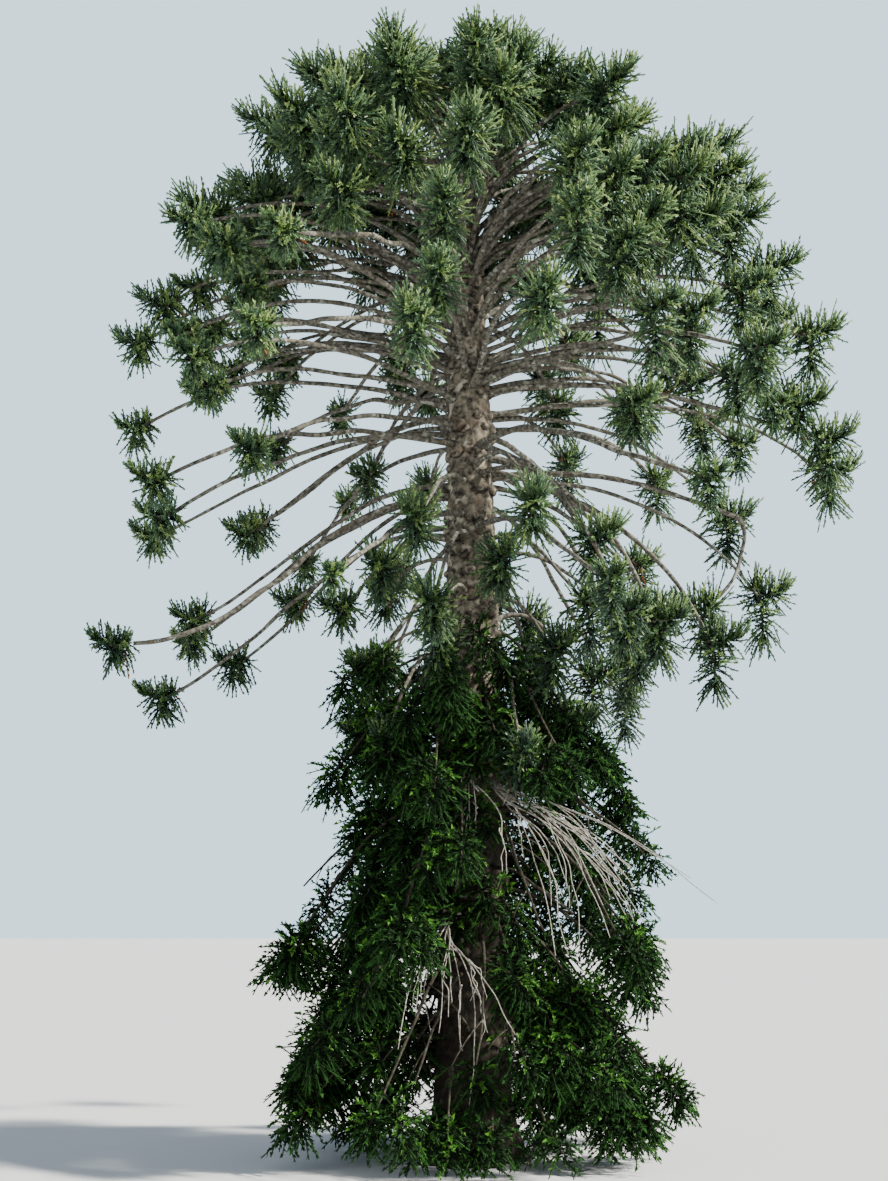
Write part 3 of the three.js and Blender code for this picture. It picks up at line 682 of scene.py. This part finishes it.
def head_of(stem, count, longest, habit, rng):
    """The branchlets all round one stem. The habit tells how far they open at its start and at its end, in
    degrees, how they lift, and how much of their length the upper ones rise and the hanging ones fall."""
    share = ((np.arange(count) + 0.5) / count) ** 0.8
    runs = unit(walk(stem, np.minimum(share + 0.05, 1)) - walk(stem, share - 0.05))
    across, above = sides_of(runs)
    turn = (GOLDEN * np.arange(count) + rng.uniform(0, 6.28))[:, None]
    outward = across * np.sin(turn) + above * np.cos(turn)
    opening = blend(habit.opened, habit.closed, share ** 1.4) + rng.uniform(-10, 10, count)
    opening = np.radians(opening)[:, None]
    direction = unit(runs * np.cos(opening) + outward * np.sin(opening) + UP * habit.lift)
    upward = np.clip(direction[:, 2], 0, 1)
    hanging = smooth_share(0.05 - direction[:, 2], 0, 0.45)
    length = longest * blend(1, 0.8, share ** 2) * (1.05 - 0.4 * rng.random(count) ** 2)
    rise = blend(habit.rise * (1 - 0.6 * upward), habit.fall, hanging) * length
    rise *= rng.uniform(0.7, 1.25, count)
    bend = rise[:, None] * UP + rng.normal(0, SIDEWAYS_BEND, (count, 3)) * length[:, None]
    draw = rng.random(count)
    # Branchlets that face the sun are drawn paler and yellower more often, and deep ones less often: partly
    # painted light, partly sun leaves that grow yellower.
    lit = np.clip(direction @ SUN_SIDE, 0, 1)
    kind = np.where(draw < blend(0.66, 0.3, lit), DARK, FRESH)
    kind = np.where(draw > 1 - blend(0.06, 0.24, lit), SUNNY, kind)
    kind = np.where((hanging > 0.6) & (share < 0.25) & (draw < 0.07), DEAD, kind)
    return Branchlets(walk(stem, share), direction, length, bend, kind)


def size_at(place):
    """The size of a mop there: larger in the dome, and smaller low down at the left and in front."""
    dome = smooth_share(place[2], 18.5, 21.5)
    left = SMALLER_AT_LEFT * smooth_share(-place[0], 0.5, 3)
    low_front = SMALLER_IN_FRONT * smooth_share(-place[1], 4.5, 6) * smooth_share(-place[2], -16, -14)
    return blend(1 - left - low_front, DOME_SIZE, dome)


def mop_lines(stem, size, rng):
    """The two stems of a mop: one goes on past the limb's end and turns up, the other hangs."""
    level = unit((stem[-1] - stem[0]) * (1, 1, 0))
    seat = walk(stem, np.array([0.1, 0.4, 0.7]))
    crown = bezier(seat[0], seat[1], seat[1] + (level * 0.52 + UP * 0.2) * size, count=STEM_POINTS)
    drop = blend(TAIL_LENGTH["left"], TAIL_LENGTH["right"], smooth_share(stem[0][0], -5, 5))
    drop *= size * rng.uniform(0.5, 1.1)
    tail = bezier(seat[0], seat[1], seat[1] + level * 0.1, seat[1] - UP * drop, count=STEM_POINTS)
    return crown, tail


def mop_of(crown, tail, size, rng):
    """All the branchlets at one limb's end. In the dome, lower at its front, the head is rounder."""
    away, high = crown[0][1:]
    habit = DOME_HABIT if high - DOME_TILT * away > DOME_FROM else CROWN_HABIT
    return gathered([head_of(crown, round(CROWN_BRANCHLETS * size), CROWN_REACH * size, habit, rng),
                     head_of(tail, round(TAIL_BRANCHLETS * size), TAIL_REACH * size, TAIL_HABIT, rng)])


def leaves_on(branchlets, per_branchlet, rng, length, width, opening):
    """Leaves in a spiral round every branchlet, each broad at its seat on the shoot, keeled and pointed.
    Gives their points, their triangles and how young they are, which also paints shade towards each
    branchlet's base."""
    shares = blend(LEAFY_FROM, 1, (np.arange(per_branchlet) + 0.3) / per_branchlet)
    points, runs = along(branchlets, shares)
    across, above = sides_of(runs)
    count = len(points)
    turn = (GOLDEN * np.arange(per_branchlet) + rng.uniform(0, 6.28, (count, 1)))[..., None]
    outward = across * np.sin(turn) + above * np.cos(turn)
    spread = blend(opening, 0.5 * opening, shares ** 3) + rng.uniform(-6, 6, (count, per_branchlet))
    spread = np.radians(spread)[..., None]
    direction = runs * np.cos(spread) + outward * np.sin(spread)
    size = blend(1, 0.75, shares ** 4) * rng.uniform(0.88, 1.12, (count, per_branchlet))
    size = size[..., None]
    edge = np.cross(runs, outward) * 0.5 * width * size
    keel = points + outward * LEAF_KEEL
    tip = keel + direction * length * size
    corners = np.stack([points - edge, keel, points + edge, tip], axis=2).reshape(-1, 3)
    first = 4 * np.arange(count * per_branchlet)[:, None]
    triangles = np.concatenate([first + (0, 1, 3), first + (1, 2, 3)], axis=1).reshape(-1, 3)
    # Darker towards each branchlet's base: partly old leaves, partly painted shade inside the head.
    return corners, triangles, np.tile(np.repeat(shares ** 2, 4), count)


def stalks_of(branchlets, tube, root_radius):
    """The branchlets' own stalks, which the leaf bases clothe to the blunt tip, and how young they are,
    which also paints shade towards each stalk's base.
    """
    tube_points, tube_triangles = tube
    shares, level = np.unique(np.round(tube_points[:, 2], 6), return_inverse=True)
    points, runs = along(branchlets, shares)
    across, above = sides_of(runs)
    level = level.ravel()
    round_out = unit(tube_points[:, :2]) * (1 - 0.25 * tube_points[:, 2:])
    offsets = across[:, level] * round_out[:, :1] + above[:, level] * round_out[:, 1:]
    corners = points[:, level] + offsets * root_radius
    first = len(tube_points) * np.arange(len(corners))[:, None, None]
    # Darker towards each stalk's base: partly age, partly painted shade inside the head.
    youth = np.tile(tube_points[:, 2] ** 2, len(corners))
    return corners.reshape(-1, 3), (first + tube_triangles[None]).reshape(-1, 3), youth


def needle_leaf(name, deep, light, rough, shade=0, wax=0.35):
    """Living leaf: a hard waxy blade, lighter towards the shoot's young tip and deeper green towards its
    base, where it is old and where shade is painted inside the head.
    Low down, in the crown's shade, it is deeper in tone by that much. Wax gives it a broad dull sheen."""
    material = new_material(name)
    place = add_node(material, "ShaderNodeTexCoord").outputs["Object"]
    patches = add_node(material, "ShaderNodeTexNoise", {"Vector": place, "Scale": 1 / LEAF_PATCH,
                                                        "Detail": 2})
    youth = add_node(material, "ShaderNodeAttribute", attribute_name="youth")
    # The tone darkens towards each shoot's base: partly age, partly painted shade inside the head.
    both = add_node(material, "ShaderNodeMath", {0: patches.outputs["Fac"], 1: youth.outputs["Fac"]})
    high = add_node(material, "ShaderNodeSeparateXYZ", {"Vector": place})
    shaded = add_node(material, "ShaderNodeMapRange", {0: high.outputs["Z"], 1: SHADE_HEIGHTS[0],
                                                       2: SHADE_HEIGHTS[1], 3: -shade, 4: 0})
    seen = add_node(material, "ShaderNodeMath", {0: both.outputs[0], 1: shaded.outputs[0]})
    tone = add_node(material, "ShaderNodeMapRange", {0: seen.outputs[0], 1: 0.45, 2: 1.4})
    colour = add_node(material, "ShaderNodeMix", {0: tone.outputs[0], 6: linear(deep), 7: linear(light)},
                      data_type="RGBA")
    shader = add_node(material, "ShaderNodeBsdfPrincipled", {"Base Color": colour.outputs[2],
                                                             "Roughness": rough,
                                                             "Specular IOR Level": wax})
    add_node(material, "ShaderNodeOutputMaterial", {"Surface": shader.outputs[0]})
    return material


def keep_clear(branchlets):
    """Leaves out each branchlet that would dip under the ground or run into the trunk."""
    points, _ = along(branchlets, np.array([0.5, 1.0]))
    flat = np.hypot(points[..., 0] - trunk_centre(points[..., 2]), points[..., 1])
    bole = trunk_radius(np.clip(points[..., 2], 0, TRUNK_TOP - 0.1)) * (points[..., 2] < TRUNK_TOP)
    off_trunk = np.all(flat > bole + TRUNK_GAP, axis=1)
    return chosen(branchlets, off_trunk & np.all(points[..., 2] > GROUND_GAP, axis=1))


def pieces_by_kind(name, branchlets, materials, slot, grow, smooth=False):
    """One or more pieces for each kind of leaf, none of them over the limit on triangles."""
    made = []
    for kind, material in materials.items():
        points, triangles, youth = grow(chosen(branchlets, branchlets.kinds == kind))
        count = -(-len(triangles) // MOST_TRIANGLES)
        cuts = [len(triangles) // 2 * i // count * 2 for i in range(count + 1)]
        for number, (low, high) in enumerate(zip(cuts, cuts[1:])):
            used = triangles[low:high]
            first, last = used.min(), used.max() + 1
            made.append(piece_from(f"{name}_{material.name}_{number + 1}", points[first:last], used - first,
                                   material, slot, smooth, youth=youth[first:last]))
    return made


# The yellowed kind is dealt out more on the sun side and the dark kind more away from it: partly painted
# light and shade.
MOP_GREENS = {
    DARK: needle_leaf("dark_leaf", 0x2A472F, 0x608258, 0.42, CROWN_SHADE),
    FRESH: needle_leaf("green_leaf", 0x42612F, 0x8AA86C, 0.4, CROWN_SHADE),
    SUNNY: needle_leaf("sunlit_yellowed_leaf", 0x628640, 0xA8BA7C, 0.42, CROWN_SHADE),
    DEAD: needle_leaf("rust_leaf", 0x5A3218, 0x96572C, 0.75),
}
MOP_SHOOTS = {
    DARK: needle_leaf("dark_shoot", 0x14241A, 0x3B5638, 0.6, CROWN_SHADE),
    FRESH: needle_leaf("green_shoot", 0x1E3218, 0x506C3A, 0.6, CROWN_SHADE),
    SUNNY: needle_leaf("sunlit_yellowed_shoot", 0x324A1E, 0x708440, 0.6, CROWN_SHADE),
    DEAD: needle_leaf("rust_shoot", 0x3E2412, 0x6A401F, 0.8),
}
mop_rng = np.random.default_rng(12)
mops = [(stem, size * size_at(stem[0])) for stem, size in mops]
mop_stems = [(*mop_lines(stem, size, mop_rng), size) for stem, size in mops]
mop_branchlets = keep_clear(gathered([mop_of(*stems, mop_rng) for stems in mop_stems]))
mop_pieces = pieces_by_kind("mops", mop_branchlets, MOP_GREENS, "mop_foliage",
                            lambda some: leaves_on(some, MOP_LEAVES, mop_rng, **MOP_LEAF))
SHOOT_TUBE = ringed_tube(sides=3, courses=2)
pieces_by_kind("mops", mop_branchlets, MOP_SHOOTS, "mop_foliage",
               lambda some: stalks_of(some, SHOOT_TUBE, SHOOT_RADIUS), smooth=True)
STEM_TUBE = ringed_tube(sides=6, courses=6)
stem_parts = [limb_skin(STEM_TUBE, line, *STEM_RADII, seed=9) for *lines, _ in mop_stems for line in lines]
piece_from("mop_stems", *stacked(stem_parts), BOUGH_BARK, "bough_bark", True)
MOP_NODES = [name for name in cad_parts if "_fan_" in name or "_tuft_" in name or name == "leader_top"]
for piece in mop_pieces:
    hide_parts(*MOP_NODES)

# The skirt: young drooping growth round the lower trunk. Each limb forks into short side branches, and each
# end carries a smaller head of leafy branchlets that hang like a parasol, one over the other, dark inside.
SkirtLevel = namedtuple("SkirtLevel", "height masses reach tip launch arrive first")
SKIRT_LEVELS = [
    SkirtLevel(10.8, 3, 3.5, 8.3, 20, -42, 30),
    SkirtLevel(7.6, 3, 4.5, 4.7, 12, -44, 90),
    SkirtLevel(4.3, 2, 4.8, 1.5, 8, -40, 90),
]
SKIRT_REACH_STEPS = (0.88, 1, 0.72, 0.96)
SKIRT_TIP_STEPS = (0.3, -0.4, 0.9, 0)
SKIRT_SPREAD = 0.74
SKIRT_RADII = (0.05, 0.02)
SKIRT_FOOT = 0.8
SIDE_RADIUS = 0.02
SKIRT_SHOOT_RADIUS = 0.02
SKIRT_FILLERS = 105
FILLER_HEIGHTS = (1.7, 12.0)
FILLER_LOWEST_TIP = 0.6
SIDE_SPACING = 1.3
SIDE_LENGTH = 1.3
PARASOL_BRANCHLETS = 44
PARASOL_REACH = 0.68
PARASOL_DROP = 0.3
PARASOL_LEAVES = 6
PARASOL_LEAF = {"length": 0.13, "width": 0.095, "opening": 46}
PARASOL_HABIT = Habit(112, 34, 0.3, -0.75, -0.3)
# Gaps that only dead twigs cross: bearing, half width, lowest and highest point, and from how far out.
BARE_HOLLOWS = [(308, 36, 4.9, 7.8, 2.4), (260, 24, 1.9, 4.7, 2.2), (150, 20, 4.8, 6.4, 2.0)]


def skirt_lines():
    """Every limb of the skirt: those of the solids, and more between them inside the same outline."""
    lines = []
    for level in SKIRT_LEVELS:
        for number in range(level.masses):
            for i, share in enumerate(SKIRT_REACH_STEPS):
                turn = number + SKIRT_SPREAD * (i / (len(SKIRT_REACH_STEPS) - 1) - 0.5)
                azimuth = level.first + 360 / level.masses * turn + AZIMUTH_PLAY * next(limb_draws)
                sway = SWAY_PLAY * next(limb_draws)
                root = around(azimuth, trunk_radius(level.height) * SKIRT_FOOT, level.height)
                end = around(azimuth, level.reach * share, level.tip + SKIRT_TIP_STEPS[i])
                lines.append(limb_line(root, end, level.launch, level.arrive, sway))
    rng = np.random.default_rng(77)
    heights = [level.height for level in reversed(SKIRT_LEVELS)]
    reaches = [level.reach for level in reversed(SKIRT_LEVELS)]
    for number in range(SKIRT_FILLERS):
        height = blend(*FILLER_HEIGHTS, ((number + 0.5) / SKIRT_FILLERS) ** 1.15)
        azimuth = math.degrees(GOLDEN) * number
        reach = np.interp(height, heights, reaches) * blend(0.35, 0.95, rng.random() ** 0.9)
        drop = (0.2 + 0.45 * rng.random()) * reach + 0.2
        root = around(azimuth, trunk_radius(height) * SKIRT_FOOT, height)
        end = around(azimuth, reach, max(height - drop, FILLER_LOWEST_TIP))
        launch, arrive = rng.uniform(0, 25), rng.uniform(-50, -25)
        lines.append(limb_line(root, end, launch, arrive, rng.uniform(-0.3, 0.3)))
    return lines


def side_branches(line, rng):
    """The side branches of one limb, which spread level and droop at their ends."""
    count = int(0.8 * length_of(line) / SIDE_SPACING)
    share = blend(0.2, 0.95, (np.arange(count) + 0.5) / count) if count else np.zeros(0)
    runs = unit(walk(line, np.minimum(share + 0.03, 1)) - walk(line, share - 0.03))
    across, above = sides_of(runs)
    hand = np.where(np.arange(count) % 2 == 0, 1, -1)[:, None]
    turn = np.radians(95 + rng.uniform(-35, 25, (count, 1)))
    outward = across * np.sin(turn) * hand + above * np.cos(turn)
    opening = np.radians(blend(70, 34, share) + rng.uniform(-12, 12, count))[:, None]
    direction = runs * np.cos(opening) + outward * np.sin(opening)
    length = SIDE_LENGTH * blend(1.0, 0.62, share) * rng.uniform(0.6, 1.15, count)
    bend = -0.3 * length[:, None] * UP
    return Branchlets(walk(line, share), direction, length, bend, np.full(count, FRESH))


def in_bare_hollow(point):
    """Whether a point is in one of the gaps where only the dead twigs hang."""
    bearing = math.degrees(math.atan2(point[1], point[0]))
    for middle, half, low, high, beyond in BARE_HOLLOWS:
        off = abs((bearing - middle + 180) % 360 - 180)
        if off < half and low < point[2] < high and math.hypot(point[0], point[1]) > beyond:
            return True
    return False


def parasols(line, sides, rng):
    """The heads of leaves at a limb's own end and at its side branches' ends."""
    bare = max(1 - 0.7 / length_of(line), 0.3)
    ends = [walk(line, np.linspace(bare, 1, 9))]
    if len(sides.roots):
        ends += list(along(sides, np.linspace(0.35, 1, 9))[0])
    heads = []
    for stem in ends:
        if in_bare_hollow(stem[-1]):
            continue
        size = rng.uniform(0.75, 1.15)
        stem = bezier(stem[0], stem[-1], stem[-1] - UP * PARASOL_DROP * size, count=STEM_POINTS)
        head = head_of(stem, PARASOL_BRANCHLETS, PARASOL_REACH * size, PARASOL_HABIT, rng)
        young = rng.random() ** 2
        draw = rng.random(len(head.lengths))
        # Upward branchlets are drawn lighter more often and hanging ones darker: painted light from above
        # and painted shade below, with each parasol's own share of young growth.
        above = smooth_share(head.directions[:, 2], -0.4, 0.6)
        kind = np.where(draw < blend(0.85, 0.25, above * (0.4 + 0.6 * young)), DARK, FRESH)
        kind = np.where(draw > 1 - 0.75 * young * above, SUNNY, kind)
        kind = np.where((head.kinds == DEAD) & (draw < 0.5), DEAD, kind)
        heads.append(head._replace(kinds=kind))
    return gathered(heads) if heads else None


skirt_rng = np.random.default_rng(31)
skirt_limb_lines = skirt_lines()
skirt_sides = [side_branches(line, skirt_rng) for line in skirt_limb_lines]
skirt_heads = [parasols(line, sides, skirt_rng) for line, sides in zip(skirt_limb_lines, skirt_sides)]
skirt_leafy = keep_clear(gathered([heads for heads in skirt_heads if heads]))
skirt_sides = keep_clear(gathered(skirt_sides))
# The skirt's greens are far darker than the crown's: painted shade under the crown. The shaded kind is the
# deepest painted shade, and the young kind is partly painted light on upward branchlets.
SKIRT_GREENS = {
    DARK: needle_leaf("shaded_leaf", 0x071506, 0x15320F, 0.8, wax=0.15),
    FRESH: needle_leaf("skirt_leaf", 0x0B2008, 0x264F18, 0.78, wax=0.15),
    SUNNY: needle_leaf("young_skirt_leaf", 0x1C3E0D, 0x548A28, 0.7, wax=0.2),
    DEAD: needle_leaf("dry_skirt_leaf", 0x4A2C18, 0x7E5230, 0.75, wax=0.15),
}
skirt_pieces = pieces_by_kind("skirt", skirt_leafy, SKIRT_GREENS, "skirt_foliage",
                              lambda some: leaves_on(some, PARASOL_LEAVES, skirt_rng, **PARASOL_LEAF))
SHADED_BARK = bark("shaded_bough_bark", dark=0x211E18, pale=0x423E33, stain=0x352B21, lichen=0x5A5A4E,
                   plate=0.09, crack=0.03)
SKIRT_TUBE = ringed_tube(sides=6, courses=18)
skirt_parts = [limb_skin(SKIRT_TUBE, line, *SKIRT_RADII, seed=number)
               for number, line in enumerate(skirt_limb_lines)]
piece_from("skirt_limbs", *stacked(skirt_parts), SHADED_BARK, "bough_bark", True)
SIDE_TUBE = ringed_tube(sides=4, courses=4)
side_points, side_triangles, _ = stalks_of(skirt_sides, SIDE_TUBE, SIDE_RADIUS)
piece_from("skirt_side_branches", side_points, side_triangles, SHADED_BARK, "bough_bark", True)
SHADED_SHOOT = needle_leaf("shaded_shoot", 0x0B1C08, 0x254A1A, 0.75, wax=0.15)
shoot_points, shoot_triangles, shoot_youth = stalks_of(skirt_leafy, SHOOT_TUBE, SKIRT_SHOOT_RADIUS)
piece_from("skirt_shoots", shoot_points, shoot_triangles, SHADED_SHOOT, "skirt_foliage", True,
           youth=shoot_youth)
SKIRT_NODES = [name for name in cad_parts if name.startswith("skirt_")]
for piece in skirt_pieces:
    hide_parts(*SKIRT_NODES)

# The dead twigs of the skirt: long, bare and silvery. They stayed on where the shade killed their leaves,
# and fall in loose fans, each from a dead bough.
DeadFan = namedtuple("DeadFan", "bearing towards height twigs spread longest slope")
DEAD_FANS = [
    DeadFan(288, 332, 8.3, 15, 84, 5.6, -38),
    DeadFan(258, 268, 5.3, 10, 130, 3.6, -60),
    DeadFan(272, 276, 8.6, 4, 60, 2.6, -70),
    DeadFan(92, 84, 7.9, 9, 64, 3.2, -52),
    DeadFan(150, 160, 7.3, 8, 76, 3.0, -50),
]
DEAD_BOUGH_REACH = 2.5
DEAD_RADII = (0.0145, 0.0095)
DEAD_FORK_RADII = (0.012, 0.0085)
DEAD_BOUGH_RADII = (0.036, 0.022)
DEAD_BENDS = 6
DEAD_BEND = 0.03
STEEPEST = -84
TWIG_LOWEST = 0.3
DEAD_TUBE = ringed_tube(sides=5, courses=16)


def kinked(line, rng):
    """The same line with a few slight bends in it."""
    shares = np.linspace(0, 1, DEAD_BENDS + 1)
    corners = walk(line, shares)
    corners[1:] += rng.normal(0, DEAD_BEND, (DEAD_BENDS, 3))
    finer = np.linspace(0, 1, LIMB_POINTS)
    return np.stack([np.interp(finer, shares, corners[:, i]) for i in range(3)], axis=1)


def falling(start, azimuth, slope, length):
    """A line that leaves at half its slope and falls away more and more steeply."""
    level = np.array([math.cos(math.radians(azimuth)), math.sin(math.radians(azimuth)), 0])
    end = start + heading(level, slope) * length
    knee = start + heading(level, slope / 2) * 0.5 * length
    return bezier(start, knee, blend(knee, end, 0.6), end)


def dead_twigs():
    """Each fan: its bough, the twigs along it, and the fork of each twig, as lines with their radii."""
    rng = np.random.default_rng(64)
    lines = []
    for fan in DEAD_FANS:
        trunk_end = around(fan.bearing - 14, trunk_radius(fan.height) * SKIRT_FOOT, fan.height)
        middle = around(fan.bearing - 12, 1.5, fan.height + 0.25)
        bough = bezier(trunk_end, middle, around(fan.bearing, DEAD_BOUGH_REACH, fan.height - 0.7))
        lines.append((kinked(bough, rng), DEAD_BOUGH_RADII))
        for number in range(fan.twigs):
            share = (number + 0.5) / fan.twigs
            turned = fan.towards + fan.spread * (share - 0.5) + rng.uniform(-6, 6)
            fall = max(fan.slope + rng.uniform(-18, 14), STEEPEST)
            length = fan.longest * rng.uniform(0.5, 1)
            twig = kinked(falling(point_at(bough, blend(0.3, 1, share)), turned, fall, length), rng)
            lines.append((twig, DEAD_RADII))
            seat = point_at(twig, rng.uniform(0.2, 0.6))
            off = turned + rng.choice([-1, 1]) * rng.uniform(12, 36)
            steeper = max(fall - rng.uniform(0, 20), STEEPEST)
            fork = falling(seat, off, steeper, length * rng.uniform(0.3, 0.6))
            lines.append((kinked(fork, rng), DEAD_FORK_RADII))
    return lines


DEAD_BARK = bark("dead_twig_wood", dark=0x7C776E, pale=0xB4AFA4, stain=0x8E7D69, lichen=0xC8C6BC,
                 plate=0.05, crack=0.02)
twig_parts = []
for number, (line, radii) in enumerate(dead_twigs()):
    above_ground = line[line[:, 2] > TWIG_LOWEST]
    if len(above_ground) > 20:
        twig_parts.append(limb_skin(DEAD_TUBE, above_ground, *radii, 300 + number))
piece_from("dead_twigs", *stacked(twig_parts), DEAD_BARK, "bough_bark", True)

# The floor, the light and the camera: a plain pale studio with a strong light from the right, a weak one to
# fill the shadows, and even light from all round. The floor is matt paint, which takes a soft shadow.
FLOOR_REACH = 260
FLOOR_DROP = 0.005
bm = bmesh.new()
bmesh.ops.create_grid(bm, x_segments=1, y_segments=1, size=FLOOR_REACH)
bmesh.ops.translate(bm, verts=bm.verts, vec=(0, 0, -FLOOR_DROP))
floor_mesh = bpy.data.meshes.new("studio_floor")
bm.to_mesh(floor_mesh)
bm.free()
floor = bpy.data.objects.new("studio_floor", floor_mesh)
bpy.context.scene.collection.objects.link(floor)
floor_paint = new_material("pale_floor_paint")
floor_shader = add_node(floor_paint, "ShaderNodeBsdfPrincipled", {"Base Color": linear(0xD9DADA),
                                                                  "Roughness": 0.9})
add_node(floor_paint, "ShaderNodeOutputMaterial", {"Surface": floor_shader.outputs[0]})
floor_mesh.materials.append(floor_paint)

AIR_LIGHT = (0xD0E4F8, 0.6)
BACKDROP_LIGHT = (0xCFEBFA, 1.9)
world = bpy.data.worlds.new("studio_air")
world.use_nodes = True
air = world.node_tree.nodes["Background"]
# What is seen behind the tree is brighter than the light that falls on it from all round.
backdrop = world.node_tree.nodes.new("ShaderNodeBackground")
for shade, (colour, strength) in ((air, AIR_LIGHT), (backdrop, BACKDROP_LIGHT)):
    shade.inputs["Color"].default_value = linear(colour)
    shade.inputs["Strength"].default_value = strength
rays = world.node_tree.nodes.new("ShaderNodeLightPath")
either = world.node_tree.nodes.new("ShaderNodeMixShader")
for source, socket in ((rays.outputs["Is Camera Ray"], 0), (air.outputs[0], 1), (backdrop.outputs[0], 2)):
    world.node_tree.links.new(source, either.inputs[socket])
world.node_tree.links.new(either.outputs[0], world.node_tree.nodes["World Output"].inputs["Surface"])
bpy.context.scene.world = world


def add_sun(name, azimuth, elevation, strength, softness):
    """A soft light that comes from that bearing, in degrees from +X, and from that height."""
    lamp = bpy.data.lights.new(name, "SUN")
    lamp.energy = strength
    lamp.color = (1.0, 0.96, 0.88)
    lamp.angle = math.radians(softness)
    light = bpy.data.objects.new(name, lamp)
    light.rotation_euler = (math.radians(90 - elevation), 0, math.radians(azimuth + 90))
    bpy.context.scene.collection.objects.link(light)


add_sun("key_light", -14, 36, 11.5, 4)
add_sun("fill_light", 250, 30, 0.5, 60)

IMAGE_HEIGHT = 1181
FOCAL_PIXELS = 1749
CAMERA_PLACE = (-0.6, -40.0, 5.5)
CAMERA_PITCH = 10.2
camera_data = bpy.data.cameras.new("photo_camera")
camera_data.sensor_width = 36
camera_data.lens = FOCAL_PIXELS / IMAGE_HEIGHT * camera_data.sensor_width
camera_data.clip_end = 1000
camera = bpy.data.objects.new("photo_camera", camera_data)
camera.location = CAMERA_PLACE
camera.rotation_euler = (math.radians(90 + CAMERA_PITCH), 0, 0)
bpy.context.scene.collection.objects.link(camera)
bpy.context.scene.camera = camera
